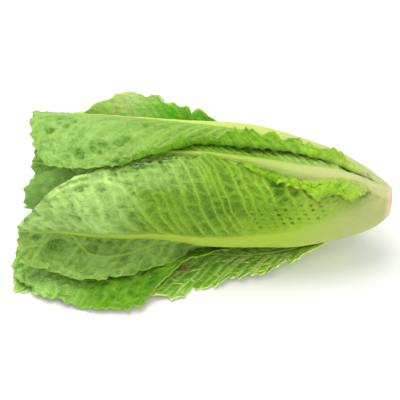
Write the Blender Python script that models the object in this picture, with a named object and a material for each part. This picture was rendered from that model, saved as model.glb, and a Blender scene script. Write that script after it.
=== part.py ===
"""Romaine lettuce head lying on its side, built leaf by leaf round one level axis.

The stem cut faces +X, the leaves run out towards -X, the front is -Y and the head
rests on z = 0.  All lengths are in millimetres until they go into Blender.

A leaf is drawn as stations along the axis.  Every station gives five points across
the leaf, from one margin over the midrib to the other margin, as an angle round the
axis (0 faces the front, 90 the top) and a distance from the axis to the outer face.
Each leaf is one sheet that a Solidify modifier thickens inwards, most at the midrib.
"""

from dataclasses import dataclass

import bmesh
import bpy
import numpy as np

MM = 0.001
AXIS_HEIGHT = 52.0
VIEW_TILT = 45.0
ACROSS = np.array([-1.0, -0.5, 0.0, 0.5, 1.0])

CORE_PROFILE = (
    (0.0, 12.2), (0.9, 13.1), (6.0, 13.3), (14.0, 12.7), (30.0, 11.8),
    (50.0, 10.2), (75.0, 7.8), (100.0, 4.8), (116.0, 2.2),
)
CORE_SIDES = 28
CORE_DOME = 0.9
CORE_TIP = 119.0
CORE_CLEARANCE = 0.6
WELD = 0.001
STEM_COLOUR = (0.66, 0.55, 0.34)
STEM_ROUGHNESS = 0.6
LEAF_ROUGHNESS = 0.5

BLADE_THICKNESS = 1.2
MARGIN_THICKNESS = 0.8
RIB_THICKNESS = (
    (6.0, 2.6), (25.0, 5.6), (45.0, 7.6), (80.0, 7.6), (140.0, 5.6),
    (200.0, 3.8), (265.0, 2.2), (310.0, 1.4),
)
RIB_HALF_WIDTH = (
    (6.0, 9.0), (30.0, 12.0), (60.0, 11.0), (110.0, 8.0), (180.0, 5.0),
    (250.0, 3.2), (310.0, 2.2),
)
RIB_RELIEF = 0.22
RIB_SHOULDER = 0.55
RIB_SHARE = (0.05, 0.6)
OUTER_ROWS = 12
OUTER_BLADE_COLUMNS = 4

INNER_COUNT = 14
INNER_TURN = 137.5
INNER_FIRST_ANGLE = 73.0
INNER_START = (22.0, 84.0)
INNER_TIP = (292.0, 158.0)
INNER_SHELL = (1.0, 0.12)
INNER_ROWS = 10
INNER_BLADE_COLUMNS = 3
INNER_THICKNESS = 0.8
INNER_RIB = 1.4
INNER_RISE = 34.0
INNER_SWEEP = 14.0
INNER_HALF_ANGLE = (
    (0.0, 26.0), (0.1, 40.0), (0.22, 56.0), (0.38, 70.0), (0.55, 78.0),
    (0.74, 80.0), (0.9, 68.0), (1.0, 46.0),
)
INNER_COLOURS = ((0.42, 0.62, 0.18), (0.80, 0.82, 0.42))
SHELL_PROFILE = (
    (20.0, 14.6), (35.0, 19.5), (65.0, 30.5), (113.0, 36.5), (160.0, 39.5),
    (210.0, 40.5), (262.0, 38.0), (295.0, 33.0),
)


@dataclass(frozen=True)
class Station:
    """One section of a leaf: distance from the cut and five points across."""

    along: float
    angles: tuple
    outs: tuple


@dataclass(frozen=True)
class LeafPlan:
    """Everything that shapes one leaf."""

    name: str
    stations: tuple
    sweep: float
    floor: float
    colour: tuple
    rib_scale: float = 1.0


def turned(along, angles, outs):
    """Station whose angles are given from the line of sight 45 degrees up."""
    return Station(along, tuple(a + VIEW_TILT for a in angles), outs)


def spread(along, *points):
    """Station given as five (y, z) points, for leaves that lie on the table."""
    y, z = np.array(points).T
    outs = np.hypot(y, z - AXIS_HEIGHT)
    angles = np.degrees(np.unwrap(np.arctan2(z - AXIS_HEIGHT, -y)))
    return Station(along, tuple(angles), tuple(outs))


TOP_LEAF = LeafPlan("leaf_top", (
    turned(6, (50, 65, 80, 95, 110), (16, 16.6, 16.8, 16.6, 16)),
    turned(35, (52, 66, 80, 97, 115), (29, 31, 31, 31, 29)),
    turned(80, (46, 62, 80, 101, 121), (47, 46, 46, 45, 42)),
    turned(124, (42, 61, 80, 103, 125), (54, 53, 53, 52, 48)),
    turned(184, (27, 53, 80, 107, 133), (55, 54, 52, 52, 50)),
    turned(243, (2, 37, 76, 107, 131), (54.5, 55, 51, 52, 50)),
    turned(297, (6, 38, 66, 90, 110), (50, 52, 50, 50, 48)),
), 24.0, 0.0, (0.36, 0.60, 0.16))

MIDDLE_LEAF = LeafPlan("leaf_middle", (
    turned(9, (9, 18, 27, 36, 45), (15.8, 16.2, 16.4, 16.2, 15.8)),
    turned(30, (0, 14, 28, 45, 62), (22, 25, 25.5, 25, 23)),
    turned(65, (-15, 6, 28, 52, 74), (33, 36, 37, 36, 33)),
    turned(113, (-30, 0, 27, 56, 84), (39, 42, 43, 40, 37)),
    turned(160, (-35, -4, 28, 60, 88), (43.5, 45, 46, 43.5, 42)),
    turned(210, (-35, -4, 28, 60, 86), (45, 47, 47, 45, 43)),
    turned(262, (-10, 8, 28, 50, 70), (43, 45, 46, 44, 43)),
), 20.0, 0.0, (0.44, 0.66, 0.18))

FRONT_LEAF = LeafPlan("leaf_front", (
    turned(6, (-64, -50, -36, -20, -4), (16, 16.6, 16.8, 16.6, 16)),
    turned(30, (-88, -68, -45, -12, 18), (27.5, 29.5, 29.5, 29.5, 29)),
    turned(65, (-98, -76, -54, -24, 7), (36, 41, 42, 42, 43)),
    turned(113, (-112, -88, -61, -22, 14), (42, 46, 49, 49.5, 49)),
    turned(145, (-100, -82, -60, -15, 28), (48, 49, 52, 53, 51.5)),
    turned(184, (-80, -76, -56, -16, 20), (61, 54, 52.5, 54, 50)),
    turned(243, (-67, -75, -59, -28, -1), (88, 64, 55, 57, 51)),
    turned(270, (-67, -72, -58, -38, -14), (85, 67, 57, 58, 55)),
    turned(292, (-68, -66, -57, -47, -36), (81, 69, 59, 58, 57)),
), 12.0, 10.0, (0.26, 0.44, 0.10))

LOWER_LEAF = LeafPlan("leaf_lower", (
    turned(14, (-146, -139, -132, -125, -118), (15.2, 15.6, 15.8, 15.6, 15.2)),
    turned(60, (-150, -138, -124, -108, -92), (37.5, 39.5, 41, 41, 40.5)),
    turned(120, (-150, -134, -115, -99, -84), (46.5, 46, 47, 51, 56)),
    turned(148, (-146, -126, -104, -87, -76), (46.5, 46.5, 51, 62, 76)),
    turned(163, (-146, -124, -102, -82, -71.5), (46.5, 46.5, 53, 77, 104)),
    turned(200, (-146, -122, -100.5, -81.5, -70.5), (46.5, 46.5, 54, 79, 107.5)),
    turned(245, (-142, -118, -95, -78.5, -70), (47, 47.5, 57, 84, 110.5)),
    turned(275, (-128, -108, -88.5, -77, -70.5), (47.5, 51.5, 65, 88, 110.5)),
    turned(303, (-116, -99, -84, -76.5, -72.5), (51, 59, 75, 90, 104)),
), 12.0, 3.6, (0.15, 0.34, 0.07), 0.7)

TABLE_LEAF = LeafPlan("leaf_table", (
    turned(6, (-111, -101, -91, -81, -71), (16.4, 16.8, 17, 16.8, 16.4)),
    turned(50, (-130, -115, -101, -89, -78), (42.5, 43, 43, 42.5, 42)),
    spread(80, (3, 3.2), (-13, 4.6), (-27, 9.5), (-37, 13.5), (-45, 14.5)),
    spread(100, (7, 0.4), (-11, 1.6), (-28, 4.6), (-41, 7), (-52, 8)),
    spread(130, (9, -0.5), (-10, -0.2), (-28, 1.6), (-43, 3.5), (-54, 4.5)),
    spread(160, (9, -0.5), (-12, -0.5), (-31, 0.4), (-50, 1.6), (-66, 3)),
    spread(190, (9, -0.5), (-13, -0.5), (-34, 0), (-55, 0.8), (-69, 2)),
    spread(245, (5, -0.5), (-16, -0.5), (-38, -0.2), (-60, 0.4), (-79, 1.2)),
    spread(275, (-4, -0.5), (-24, -0.5), (-45, -0.2), (-65, 0.2), (-83, 0.8)),
    spread(303, (-20, -0.3), (-37, -0.3), (-54, -0.2), (-68, 0), (-80, 0.4)),
), 8.0, 0.0, (0.13, 0.36, 0.04), 0.45)

BACK_LEAF = LeafPlan("leaf_back", (
    turned(12, (120, 131, 142, 153, 164), (16, 16.5, 16.8, 16.5, 16)),
    turned(60, (120, 130, 142, 159, 176), (43, 43.5, 43.5, 43.5, 43)),
    turned(115, (114, 125, 141, 162, 184), (53, 55, 57, 57.5, 57)),
    turned(152, (105, 120, 140, 165, 190), (56, 57.5, 58, 58.5, 58.5)),
    turned(185, (97, 116, 140, 165, 190), (65, 61, 59, 59, 59.5)),
    turned(212, (94, 115, 140, 163, 188), (71, 63.5, 60, 60, 60.5)),
    turned(245, (94, 112, 138, 158, 176), (62, 60.5, 60, 60.5, 61)),
    turned(275, (100, 114, 130, 144, 158), (55, 58.5, 60, 60, 60)),
), 14.0, 0.0, (0.24, 0.48, 0.10), 0.7)

UNDER_LEAF = LeafPlan("leaf_under", (
    turned(14, (-189, -180, -171.5, -163, -154), (15.6, 16.2, 16.4, 16.2, 15.6)),
    turned(60, (-202, -184, -166, -151, -138), (38.5, 39.5, 41.8, 42.6, 42.2)),
    spread(120, (47, 39), (41, 19), (25, 1.6), (8, 2.7), (-7, 3.0)),
    spread(180, (49, 39), (43, 18.5), (26, -0.5), (9, 2.4), (-7, 2.9)),
    spread(240, (49, 42), (44, 19), (28, -0.5), (11, 2.2), (-4, 2.6)),
    spread(275, (48, 45), (44.5, 21), (30, 0), (14, 0.3), (2, 0.6)),
    spread(304, (45, 44), (43, 21), (34, 7), (21, 3), (7, 3)),
), 6.0, 0.0, (0.14, 0.34, 0.06), 0.6)

LARGE_LEAVES = (
    TOP_LEAF, MIDDLE_LEAF, FRONT_LEAF, LOWER_LEAF, TABLE_LEAF, BACK_LEAF, UNDER_LEAF,
)


def smooth_through(knots, values, at):
    """Read a smooth curve through the knots at the wanted positions."""
    knots = np.asarray(knots, float)
    values = np.asarray(values, float)
    step = np.diff(knots)
    slope = np.diff(values) / step
    tangent = np.empty(len(knots))
    tangent[0], tangent[-1] = slope[0], slope[-1]
    tangent[1:-1] = (slope[:-1] * step[1:] + slope[1:] * step[:-1]) / (step[:-1] + step[1:])
    i = np.clip(np.searchsorted(knots, at) - 1, 0, len(knots) - 2)
    h = step[i]
    u = (at - knots[i]) / h
    return (
        (1 + 2 * u) * (1 - u) ** 2 * values[i] + u * (1 - u) ** 2 * h * tangent[i]
        + u * u * (3 - 2 * u) * values[i + 1] + u * u * (u - 1) * h * tangent[i + 1]
    )


def read_profile(profile, at):
    """Read a straight-line profile of (distance, value) pairs."""
    knots, values = np.array(profile).T
    return np.interp(at, knots, values)


def core_radius(along):
    """Radius the inner leaves keep clear of round the stem."""
    return np.where(along < CORE_TIP, read_profile(CORE_PROFILE, along), 0.0) + CORE_CLEARANCE


def columns_across(rib_share, count):
    """Positions across a leaf, with extra lines at the midrib and its shoulders."""
    blade = rib_share + (1 - rib_share) * np.arange(1, count + 1) / count
    half = np.concatenate([[RIB_SHOULDER * rib_share, rib_share], blade])
    return np.concatenate([-half[::-1], [0.0], half])


def outer_face(plan, rows, blade_columns):
    """Grid of outer-face points, with how far across and along each one is.

    Args:
        plan: the leaf's stations and tip shape.
        rows: how many strips the leaf has along its length.
        blade_columns: how many strips lie between the midrib and a margin.

    Returns:
        Points (rows + 1, columns, 3) from the middle of the stem cut, the matching
        distances from the midrib in rib half-widths, and the distances along.
    """
    knots = np.array([s.along for s in plan.stations], float)
    angles = np.array([s.angles for s in plan.stations])
    outs = np.array([s.outs for s in plan.stations], float)
    t = np.linspace(0.0, 1.0, rows + 1)
    along = knots[0] + t * (knots[-1] - knots[0])
    five_angles = np.stack([smooth_through(knots, angles[:, k], along) for k in range(5)], 1)
    five_outs = np.stack([smooth_through(knots, outs[:, k], along) for k in range(5)], 1)
    half_arc = np.radians(np.ptp(five_angles, axis=1)) * five_outs[:, 2] / 2
    share = np.clip(read_profile(RIB_HALF_WIDTH, along) / half_arc, *RIB_SHARE)
    points, across = [], []
    for i in range(rows + 1):
        s = columns_across(share[i], blade_columns)
        angle = np.radians(smooth_through(ACROSS, five_angles[i], s))
        out = smooth_through(ACROSS, five_outs[i], s)
        lag = plan.sweep * t[i] ** 3 * s ** 2
        points.append(np.stack([lag - along[i], -out * np.cos(angle), out * np.sin(angle)], 1))
        across.append(s / share[i])
    points = np.array(points)
    return points, np.array(across), np.repeat(along[:, None], points.shape[1], 1)


def rib_weight(across):
    """1 on the midrib and 0 from its edges outwards, with a rounded top."""
    return np.sqrt(np.clip(1.0 - np.abs(across), 0.0, 1.0))


def raised(points, height):
    """Grid points lifted outwards by a height."""
    normal = np.cross(np.gradient(points, axis=1), np.gradient(points, axis=0))
    normal /= np.linalg.norm(normal, axis=2, keepdims=True)
    return points + normal * height[..., None]


def large_leaf(plan):
    """Outer face and thickness of one of the seven large leaves."""
    points, across, along = outer_face(plan, OUTER_ROWS, OUTER_BLADE_COLUMNS)
    rib = read_profile(RIB_THICKNESS, along)
    rib = np.minimum(rib, np.maximum(rib * plan.rib_scale, BLADE_THICKNESS))
    extra = (rib - BLADE_THICKNESS) * rib_weight(across)
    edge = np.abs(across) / np.abs(across).max(axis=1, keepdims=True)
    blade = BLADE_THICKNESS + (MARGIN_THICKNESS - BLADE_THICKNESS) * edge
    points = raised(points, extra * RIB_RELIEF)
    points[..., 2] = np.maximum(points[..., 2], plan.floor - AXIS_HEIGHT)
    return points, blade + extra


def inner_plan(index):
    """Stations of one inner leaf, number 0 the outermost, placed by a formula."""
    share = index / (INNER_COUNT - 1)
    start = INNER_START[0] + share * (INNER_START[1] - INNER_START[0])
    tip = INNER_TIP[0] + share ** 1.3 * (INNER_TIP[1] - INNER_TIP[0])
    shell = INNER_SHELL[0] + share * (INNER_SHELL[1] - INNER_SHELL[0])
    middle = INNER_FIRST_ANGLE + INNER_TURN * (index + 1)
    stations = []
    for u, half in INNER_HALF_ANGLE:
        along = start + u * (tip - start)
        rise = np.clip((along - start) / INNER_RISE, 0.0, 1.0)
        clear = core_radius(along)
        limit = max(read_profile(SHELL_PROFILE, along), clear)
        face = clear + shell * rise * (limit - clear) + INNER_THICKNESS
        stations.append(Station(along, tuple(middle + half * s for s in ACROSS), (face,) * 5))
    colour = (1 - share) * np.array(INNER_COLOURS[0]) + share * np.array(INNER_COLOURS[1])
    name = f"leaf_inner_{index + 1:02d}"
    return LeafPlan(name, tuple(stations), INNER_SWEEP, 0.0, tuple(colour))


def inner_leaf(plan):
    """Outer face and thickness of one of the leaves inside the head."""
    points, across, along = outer_face(plan, INNER_ROWS, INNER_BLADE_COLUMNS)
    start, tip = plan.stations[0].along, plan.stations[-1].along
    u = (along - start) / (tip - start)
    swell = INNER_RIB * np.clip(u / 0.2, 0.0, 1.0) * (1.0 - 0.7 * u) * rib_weight(across)
    return raised(points, swell), INNER_THICKNESS + swell


def finish(name, colour, roughness):
    """Plain Principled material."""
    made = bpy.data.materials.new(name)
    made.use_nodes = True
    shader = made.node_tree.nodes["Principled BSDF"]
    shader.inputs["Base Color"].default_value = (*colour, 1.0)
    shader.inputs["Roughness"].default_value = roughness
    shader.inputs["Metallic"].default_value = 0.0
    return made


def add_object(mesh, colour, roughness, head):
    """Smooth-shaded object for a mesh, hung on the head's axis."""
    mesh.materials.append(finish(mesh.name, colour, roughness))
    mesh.shade_smooth()
    made = bpy.data.objects.new(mesh.name, mesh)
    bpy.context.scene.collection.objects.link(made)
    made.parent = head
    return made


def add_leaf(plan, points, thickness, head):
    """One leaf: a sheet of quads thickened inwards by a Solidify modifier."""
    rows, columns = points.shape[:2]
    corner = np.arange(rows * columns).reshape(rows, columns)
    quads = np.stack([corner[:-1, :-1], corner[:-1, 1:], corner[1:, 1:], corner[1:, :-1]], 2)
    mesh = bpy.data.meshes.new(plan.name)
    mesh.from_pydata((points * MM).reshape(-1, 3).tolist(), [], quads.reshape(-1, 4).tolist())
    leaf = add_object(mesh, plan.colour, LEAF_ROUGHNESS, head)
    group = leaf.vertex_groups.new(name="thickness")
    thickest = thickness.max()
    for i, value in enumerate(thickness.flat):
        group.add([i], value / thickest, "REPLACE")
    blade = leaf.modifiers.new("blade", "SOLIDIFY")
    blade.thickness = thickest * MM
    blade.offset = -1.0
    blade.vertex_group = group.name


def add_stem(head):
    """Stem core, its profile spun round the axis, with a slightly domed cut."""
    outline = [(-CORE_DOME, 0.0), *CORE_PROFILE, (CORE_TIP, 0.0)]
    turned_mesh = bmesh.new()
    rim = [turned_mesh.verts.new((-along * MM, -radius * MM, 0.0)) for along, radius in outline]
    lines = [turned_mesh.edges.new(pair) for pair in zip(rim, rim[1:])]
    bmesh.ops.spin(
        turned_mesh, geom=rim + lines, cent=(0, 0, 0), axis=(1, 0, 0),
        angle=2 * np.pi, steps=CORE_SIDES)
    bmesh.ops.remove_doubles(turned_mesh, verts=turned_mesh.verts, dist=WELD * MM)
    bmesh.ops.recalc_face_normals(turned_mesh, faces=turned_mesh.faces)
    mesh = bpy.data.meshes.new("stem")
    turned_mesh.to_mesh(mesh)
    turned_mesh.free()
    add_object(mesh, STEM_COLOUR, STEM_ROUGHNESS, head)


def centre_over_origin(head):
    """Move the head so that the middle of its box stands over the origin."""
    bpy.context.view_layer.update()
    graph = bpy.context.evaluated_depsgraph_get()
    corners = []
    for child in head.children:
        corners.extend(child.evaluated_get(graph).bound_box)
    low, high = np.min(corners, axis=0), np.max(corners, axis=0)
    head.location = (-(low[0] + high[0]) / 2, -(low[1] + high[1]) / 2, AXIS_HEIGHT * MM)


def main():
    """Clear the scene and build the stem, the large leaves and the inner leaves."""
    for old in list(bpy.data.objects):
        bpy.data.objects.remove(old, do_unlink=True)
    head = bpy.data.objects.new("head_axis", None)
    bpy.context.scene.collection.objects.link(head)
    add_stem(head)
    for plan in LARGE_LEAVES:
        add_leaf(plan, *large_leaf(plan), head)
    for index in range(INNER_COUNT):
        plan = inner_plan(index)
        add_leaf(plan, *inner_leaf(plan), head)
    centre_over_origin(head)


main()
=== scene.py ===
"""Looks of a romaine lettuce head that lies on its side.

The head is a stem with leaves wrapped round one level axis.  The axis starts in the
middle of the stem cut and runs towards -X.  Lengths are in millimetres until a mesh
is made, and angles are in degrees round the axis: 0 faces the front, 90 the top.
Every leaf is a grid of rows along the axis and columns across the leaf, drawn from
stations, then bent, ruffled, blistered and given a raised midrib and veins.
"""

from __future__ import annotations

import logging
from dataclasses import dataclass, field
from enum import Enum
from math import radians

import bpy
import numpy as np
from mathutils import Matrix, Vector


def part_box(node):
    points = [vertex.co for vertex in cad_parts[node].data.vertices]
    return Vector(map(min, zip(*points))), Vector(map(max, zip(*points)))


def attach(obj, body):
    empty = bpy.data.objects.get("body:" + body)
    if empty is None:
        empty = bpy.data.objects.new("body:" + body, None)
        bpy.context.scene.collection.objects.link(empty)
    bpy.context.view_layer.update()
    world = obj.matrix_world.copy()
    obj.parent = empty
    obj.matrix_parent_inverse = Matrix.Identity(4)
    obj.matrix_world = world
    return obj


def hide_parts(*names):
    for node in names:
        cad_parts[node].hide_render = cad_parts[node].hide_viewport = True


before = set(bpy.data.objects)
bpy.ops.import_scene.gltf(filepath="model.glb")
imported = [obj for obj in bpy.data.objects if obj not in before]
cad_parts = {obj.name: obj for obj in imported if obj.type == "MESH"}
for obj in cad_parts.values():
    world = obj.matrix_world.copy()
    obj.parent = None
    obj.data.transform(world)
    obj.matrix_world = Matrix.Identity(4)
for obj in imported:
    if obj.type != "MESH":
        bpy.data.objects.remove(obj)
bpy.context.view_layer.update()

Pair = tuple[float, float]
Triple = tuple[float, float, float]
Profile = tuple[Pair, ...]
Colour = Triple

LOG = logging.getLogger("lettuce")
MM = 0.001
BODY = "root"
ACROSS = np.array([-1.0, -0.5, 0.0, 0.5, 1.0])
SIGHT_TILT = 45.0
AXIS_HEIGHT = 52.0
CUT_DOME = 0.9
FLOOR_GAP = 0.15
FLOOR_SOFTNESS = 1.5
FAR = 99.0
NEVER = (900.0, 901.0)


class Side(Enum):
    """The two margins of a leaf, seen from its midrib."""

    LOW = -1
    HIGH = 1


class Turn(Enum):
    """Which way a margin rolls over."""

    OUTWARD = 1
    INWARD = -1


def smooth_through(knots: np.ndarray, values: np.ndarray, at: np.ndarray) -> np.ndarray:
    """Read a smooth curve through knots.

    Args:
        knots: rising positions of the knots.
        values: value at each knot.
        at: positions to read.

    Returns:
        The curve's value at each position.
    """
    step = np.diff(knots)
    slope = np.diff(values) / step
    tangent = np.empty(len(knots))
    tangent[0], tangent[-1] = slope[0], slope[-1]
    tangent[1:-1] = (slope[:-1] * step[1:] + slope[1:] * step[:-1]) / (step[:-1] + step[1:])
    i = np.clip(np.searchsorted(knots, at) - 1, 0, len(knots) - 2)
    h = step[i]
    u = (at - knots[i]) / h
    return (
        (1 + 2 * u) * (1 - u) ** 2 * values[i] + u * (1 - u) ** 2 * h * tangent[i]
        + u * u * (3 - 2 * u) * values[i + 1] + u * u * (u - 1) * h * tangent[i + 1]
    )


def reading_weights(knots: np.ndarray, at: np.ndarray) -> np.ndarray:
    """Matrix that turns knot values into smooth_through readings."""
    return np.stack([smooth_through(knots, row, at) for row in np.eye(len(knots))], 1)


def read_profile(profile: Profile, at: np.ndarray) -> np.ndarray:
    """Read a straight-line profile of (position, value) pairs."""
    knots, values = np.array(profile).T
    return np.interp(at, knots, values)


def ease(low: float, high: float, x: np.ndarray) -> np.ndarray:
    """Smooth step from 0 at low to 1 at high."""
    u = np.clip((x - low) / (high - low), 0.0, 1.0)
    return u * u * (3 - 2 * u)


def unit(vectors: np.ndarray) -> np.ndarray:
    """Vectors brought to length 1 along their last axis."""
    return vectors / np.maximum(np.linalg.norm(vectors, axis=-1, keepdims=True), 1e-9)


def grid_normals(points: np.ndarray) -> np.ndarray:
    """Outward unit direction at every point of a leaf grid."""
    return unit(np.cross(np.gradient(points, axis=1), np.gradient(points, axis=0)))


@dataclass(frozen=True)
class Noise:
    """Smooth repeatable noise on a plane, from -1 to 1."""

    seed: int
    size: int = 64

    def at(self, u: np.ndarray, v: np.ndarray) -> np.ndarray:
        """Read one layer of noise.

        Args:
            u: first coordinate; one unit is one bump.
            v: second coordinate.

        Returns:
            Values from -1 to 1.
        """
        table = np.random.default_rng(self.seed).uniform(-1, 1, (self.size, self.size))
        iu, iv = np.floor(u).astype(int), np.floor(v).astype(int)
        fu, fv = ease(0, 1, u - iu), ease(0, 1, v - iv)
        iu, iv, ju, jv = (k % self.size for k in (iu, iv, iu + 1, iv + 1))
        low = table[iu, iv] * (1 - fu) + table[ju, iv] * fu
        high = table[iu, jv] * (1 - fu) + table[ju, jv] * fu
        return low * (1 - fv) + high * fv

    def layered(self, u: np.ndarray, v: np.ndarray, layers: int = 3) -> np.ndarray:
        """Several layers of noise, each half as large and half as strong.

        Args:
            u: first coordinate; one unit is one bump of the first layer.
            v: second coordinate.
            layers: how many layers.

        Returns:
            Values from -1 to 1.
        """
        total = sum(
            Noise(self.seed + k).at(u * 2**k + 7.3 * k, v * 2**k + 3.1 * k) / 2**k
            for k in range(layers))
        return total / (2 - 0.5 ** (layers - 1))


@dataclass(frozen=True)
class HeadAxis:
    """Where the head's axis lies in the row frame, in millimetres."""

    cut_x: float
    y: float
    z: float

    @classmethod
    def from_stem(cls) -> HeadAxis:
        """Read the axis from the stem's box."""
        low, high = (np.array(corner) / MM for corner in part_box("stem"))
        return cls(high[0] - CUT_DOME, (low[1] + high[1]) / 2, (low[2] + high[2]) / 2)

    def metres(self, points: np.ndarray) -> np.ndarray:
        """Points measured from the cut's middle, as row-frame metres."""
        return (points + np.array([self.cut_x, self.y, self.z])) * MM


@dataclass(frozen=True)
class Station:
    """One section of a leaf: five angles and five distances out from the axis."""

    along: float
    angles: tuple[float, ...]
    outs: tuple[float, ...]


def turned(along: float, angles: tuple[float, ...], outs: tuple[float, ...]) -> Station:
    """Station whose angles are counted from the line 45 degrees up at the front."""
    return Station(along, tuple(a + SIGHT_TILT for a in angles), outs)


def spread(along: float, *points: Pair) -> Station:
    """Station for a leaf that spreads over the table.

    Args:
        along: distance from the stem cut.
        points: five (y from the axis, z from the table) points.

    Returns:
        The same section as angles and distances round the axis.
    """
    y, z = np.array(points).T
    outs = np.hypot(y, z - AXIS_HEIGHT)
    angles = np.degrees(np.unwrap(np.arctan2(z - AXIS_HEIGHT, -y)))
    return Station(along, tuple(angles), tuple(outs))


@dataclass(frozen=True)
class VeinPattern:
    """Side veins that curve away from the midrib, joined by slanting cross veins."""

    seed: int
    spacing: float = 9.5
    lean: float = 0.5
    arch: float = 0.0016
    flare: float = 9.0
    flare_reach: float = 9.0
    ladder: float = 9.0
    wander: float = 1.6
    wander_pitch: Pair = (20.0, 11.0)
    uneven: float = 0.28
    fork_from: float = 20.0
    fork_spread: float = 40.0
    fork_length: float = 16.0
    fork_strength: float = 0.6
    crowding: float = 0.25
    crowd_from: float = 190.0
    crowd_over: float = 30.0
    lines: int = 90
    lines_before_cut: int = 35
    rows: int = 97
    steps: int = 64

    def lateral(self, along: np.ndarray, off: np.ndarray) -> np.ndarray:
        """Where the side vein through each point leaves the midrib.

        Args:
            along: distance from the stem cut.
            off: signed distance from the midrib.

        Returns:
            Distance along the midrib.
        """
        q = np.abs(off)
        bend = self.flare * (1 - np.exp(-q / self.flare_reach))
        return along - bend - self.lean * q - self.arch * q * q

    def read(self, along: np.ndarray, off: np.ndarray) -> tuple[np.ndarray, ...]:
        """Measure how far every point is from the veins.

        Args:
            along: distance from the stem cut.
            off: signed distance from the midrib, over the leaf.

        Returns:
            Distance to the nearest side vein, that vein's strength, and the distance
            to the nearest cross vein.
        """
        drift = Noise(self.seed + 11)
        pitch_along, pitch_off = self.wander_pitch
        wandering = along + self.wander * drift.layered(along / pitch_along, off / pitch_off, 2)
        q = np.abs(off)
        c = self.lateral(wandering, off)
        tilt = self.lean + 2 * self.arch * q + np.exp(-q / self.flare_reach) * (
            self.flare / self.flare_reach)
        slant = np.sqrt(1 + tilt * tilt)
        crowded = np.logaddexp(0, (c - self.crowd_from) / self.crowd_over)
        c = c - self.crowding * crowded * self.crowd_over

        rng = np.random.default_rng(self.seed)
        count, both = self.lines, (2, self.lines)
        jitter = rng.uniform(-1, 1, both) * self.uneven
        lines = (np.arange(count)[None, :] - self.lines_before_cut + jitter) * self.spacing
        power = rng.uniform(0.6, 1.15, both)
        starts = self.fork_from + rng.uniform(0, self.fork_spread, both)
        offsets = rng.uniform(0, 1, (2, self.rows))
        rungs = (self.rows, self.steps)
        slopes, shifts = rng.uniform(-0.9, 0.9, rungs), rng.uniform(-0.3, 0.3, rungs)
        weights = rng.uniform(0, 1, rungs) ** 0.6

        side = (off > 0).astype(int)
        index = np.empty(c.shape, int)
        for k in (0, 1):
            here = side == k
            index[here] = np.clip(np.searchsorted(lines[k], c[here]) - 1, 0, count - 2)
        low, high = lines[side, index], lines[side, index + 1]
        begun = ease(0, self.fork_length, q - starts[side, index])
        fork = low + (0.06 + 0.46 * begun) * (high - low)
        below, above, branch = (c - low) / slant, (high - c) / slant, np.abs(c - fork) / slant
        branch = branch + 3.0 * (1 - begun)
        to_side = np.minimum(np.minimum(below, above), branch)
        strength = np.where(below < above, power[side, index], power[side, index + 1])
        strength = np.where(branch < np.minimum(below, above), self.fork_strength, strength)

        row = (2 * index + (c > fork) * (begun > 0)) % self.rows
        share = (c - low) / (high - low) - 0.5
        place = q * slant / self.ladder + offsets[side, row]
        to_cross = np.full(c.shape, FAR)
        for neighbour in (-2, -1, 0, 1, 2):
            k = np.floor(place).astype(int) + neighbour
            rung = row, k % self.steps
            at = k + 0.5 + shifts[rung] + slopes[rung] * share
            gap = np.abs(place - at) * self.ladder / np.sqrt(1 + slopes[rung] ** 2)
            to_cross = np.minimum(to_cross, gap + 1.1 * (1 - weights[rung]))
        return to_side, strength, to_cross


@dataclass(frozen=True)
class Teeth:
    """Uneven saw teeth along a margin."""

    seed: int
    pitch: float = 7.0
    least: float = 0.4
    most: float = 2.4
    lean: float = 0.3
    half_width: float = 0.62
    shift: float = 0.3
    sunk: float = 0.4
    kinds: int = 211

    def at(self, place: np.ndarray) -> np.ndarray:
        """How far the margin reaches out at each place along it.

        Args:
            place: distance along the margin.

        Returns:
            Reach outwards, below 0 between tall teeth.
        """
        rng = np.random.default_rng(self.seed)
        shift = rng.uniform(-self.shift, self.shift, self.kinds)
        tall = rng.uniform(0, 1, self.kinds) ** 1.5
        reach = np.zeros_like(place)
        for neighbour in (-1, 0, 1):
            k = np.floor(place / self.pitch).astype(int) + neighbour
            tooth = k % self.kinds
            x = place / self.pitch - (k + 0.5 + shift[tooth])
            side = self.half_width * np.where(x > 0, 1 - self.lean, 1 + self.lean)
            height = self.least + (self.most - self.least) * tall[tooth]
            reach = np.maximum(reach, height * np.clip(1 - np.abs(x) / side, 0, 1) ** 0.8)
        return reach - self.sunk * self.most


@dataclass(frozen=True)
class Frill:
    """A stretch of margin with much stronger ruffles."""

    side: Side
    along: float
    length: float
    height: float
    reach: float = 9.0
    pitch: float = 5.0
    stretch: float = 2.5

    def at(self, sheet: Sheet, seed: int) -> np.ndarray:
        """Height of the frill at every point.

        Args:
            sheet: the leaf.
            seed: the leaf's own seed.

        Returns:
            Height out of the blade.
        """
        noise = Noise(seed + 61)
        here = np.exp(-((sheet.along - self.along) / self.length) ** 4)
        here = here * (np.sign(sheet.off) == self.side.value)
        broad, fine = self.stretch * self.pitch, 0.4 * self.stretch * self.pitch
        wave = noise.at(sheet.along / self.pitch, sheet.off / broad)
        wave = wave + 0.6 * noise.at(sheet.along / self.pitch * 2.1 + 5, sheet.off / fine)
        return self.height * here * wave * np.exp(-sheet.to_edge / self.reach)


@dataclass(frozen=True)
class Swell:
    """A rounded bulge, or a hollow where the height is negative."""

    along: float
    off: float
    height: float
    length: float
    width: float

    def at(self, along: np.ndarray, off: np.ndarray) -> np.ndarray:
        """Height of the bulge at every point."""
        u, v = (along - self.along) / self.length, (off - self.off) / self.width
        return self.height * np.exp(-u * u - v * v)


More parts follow.
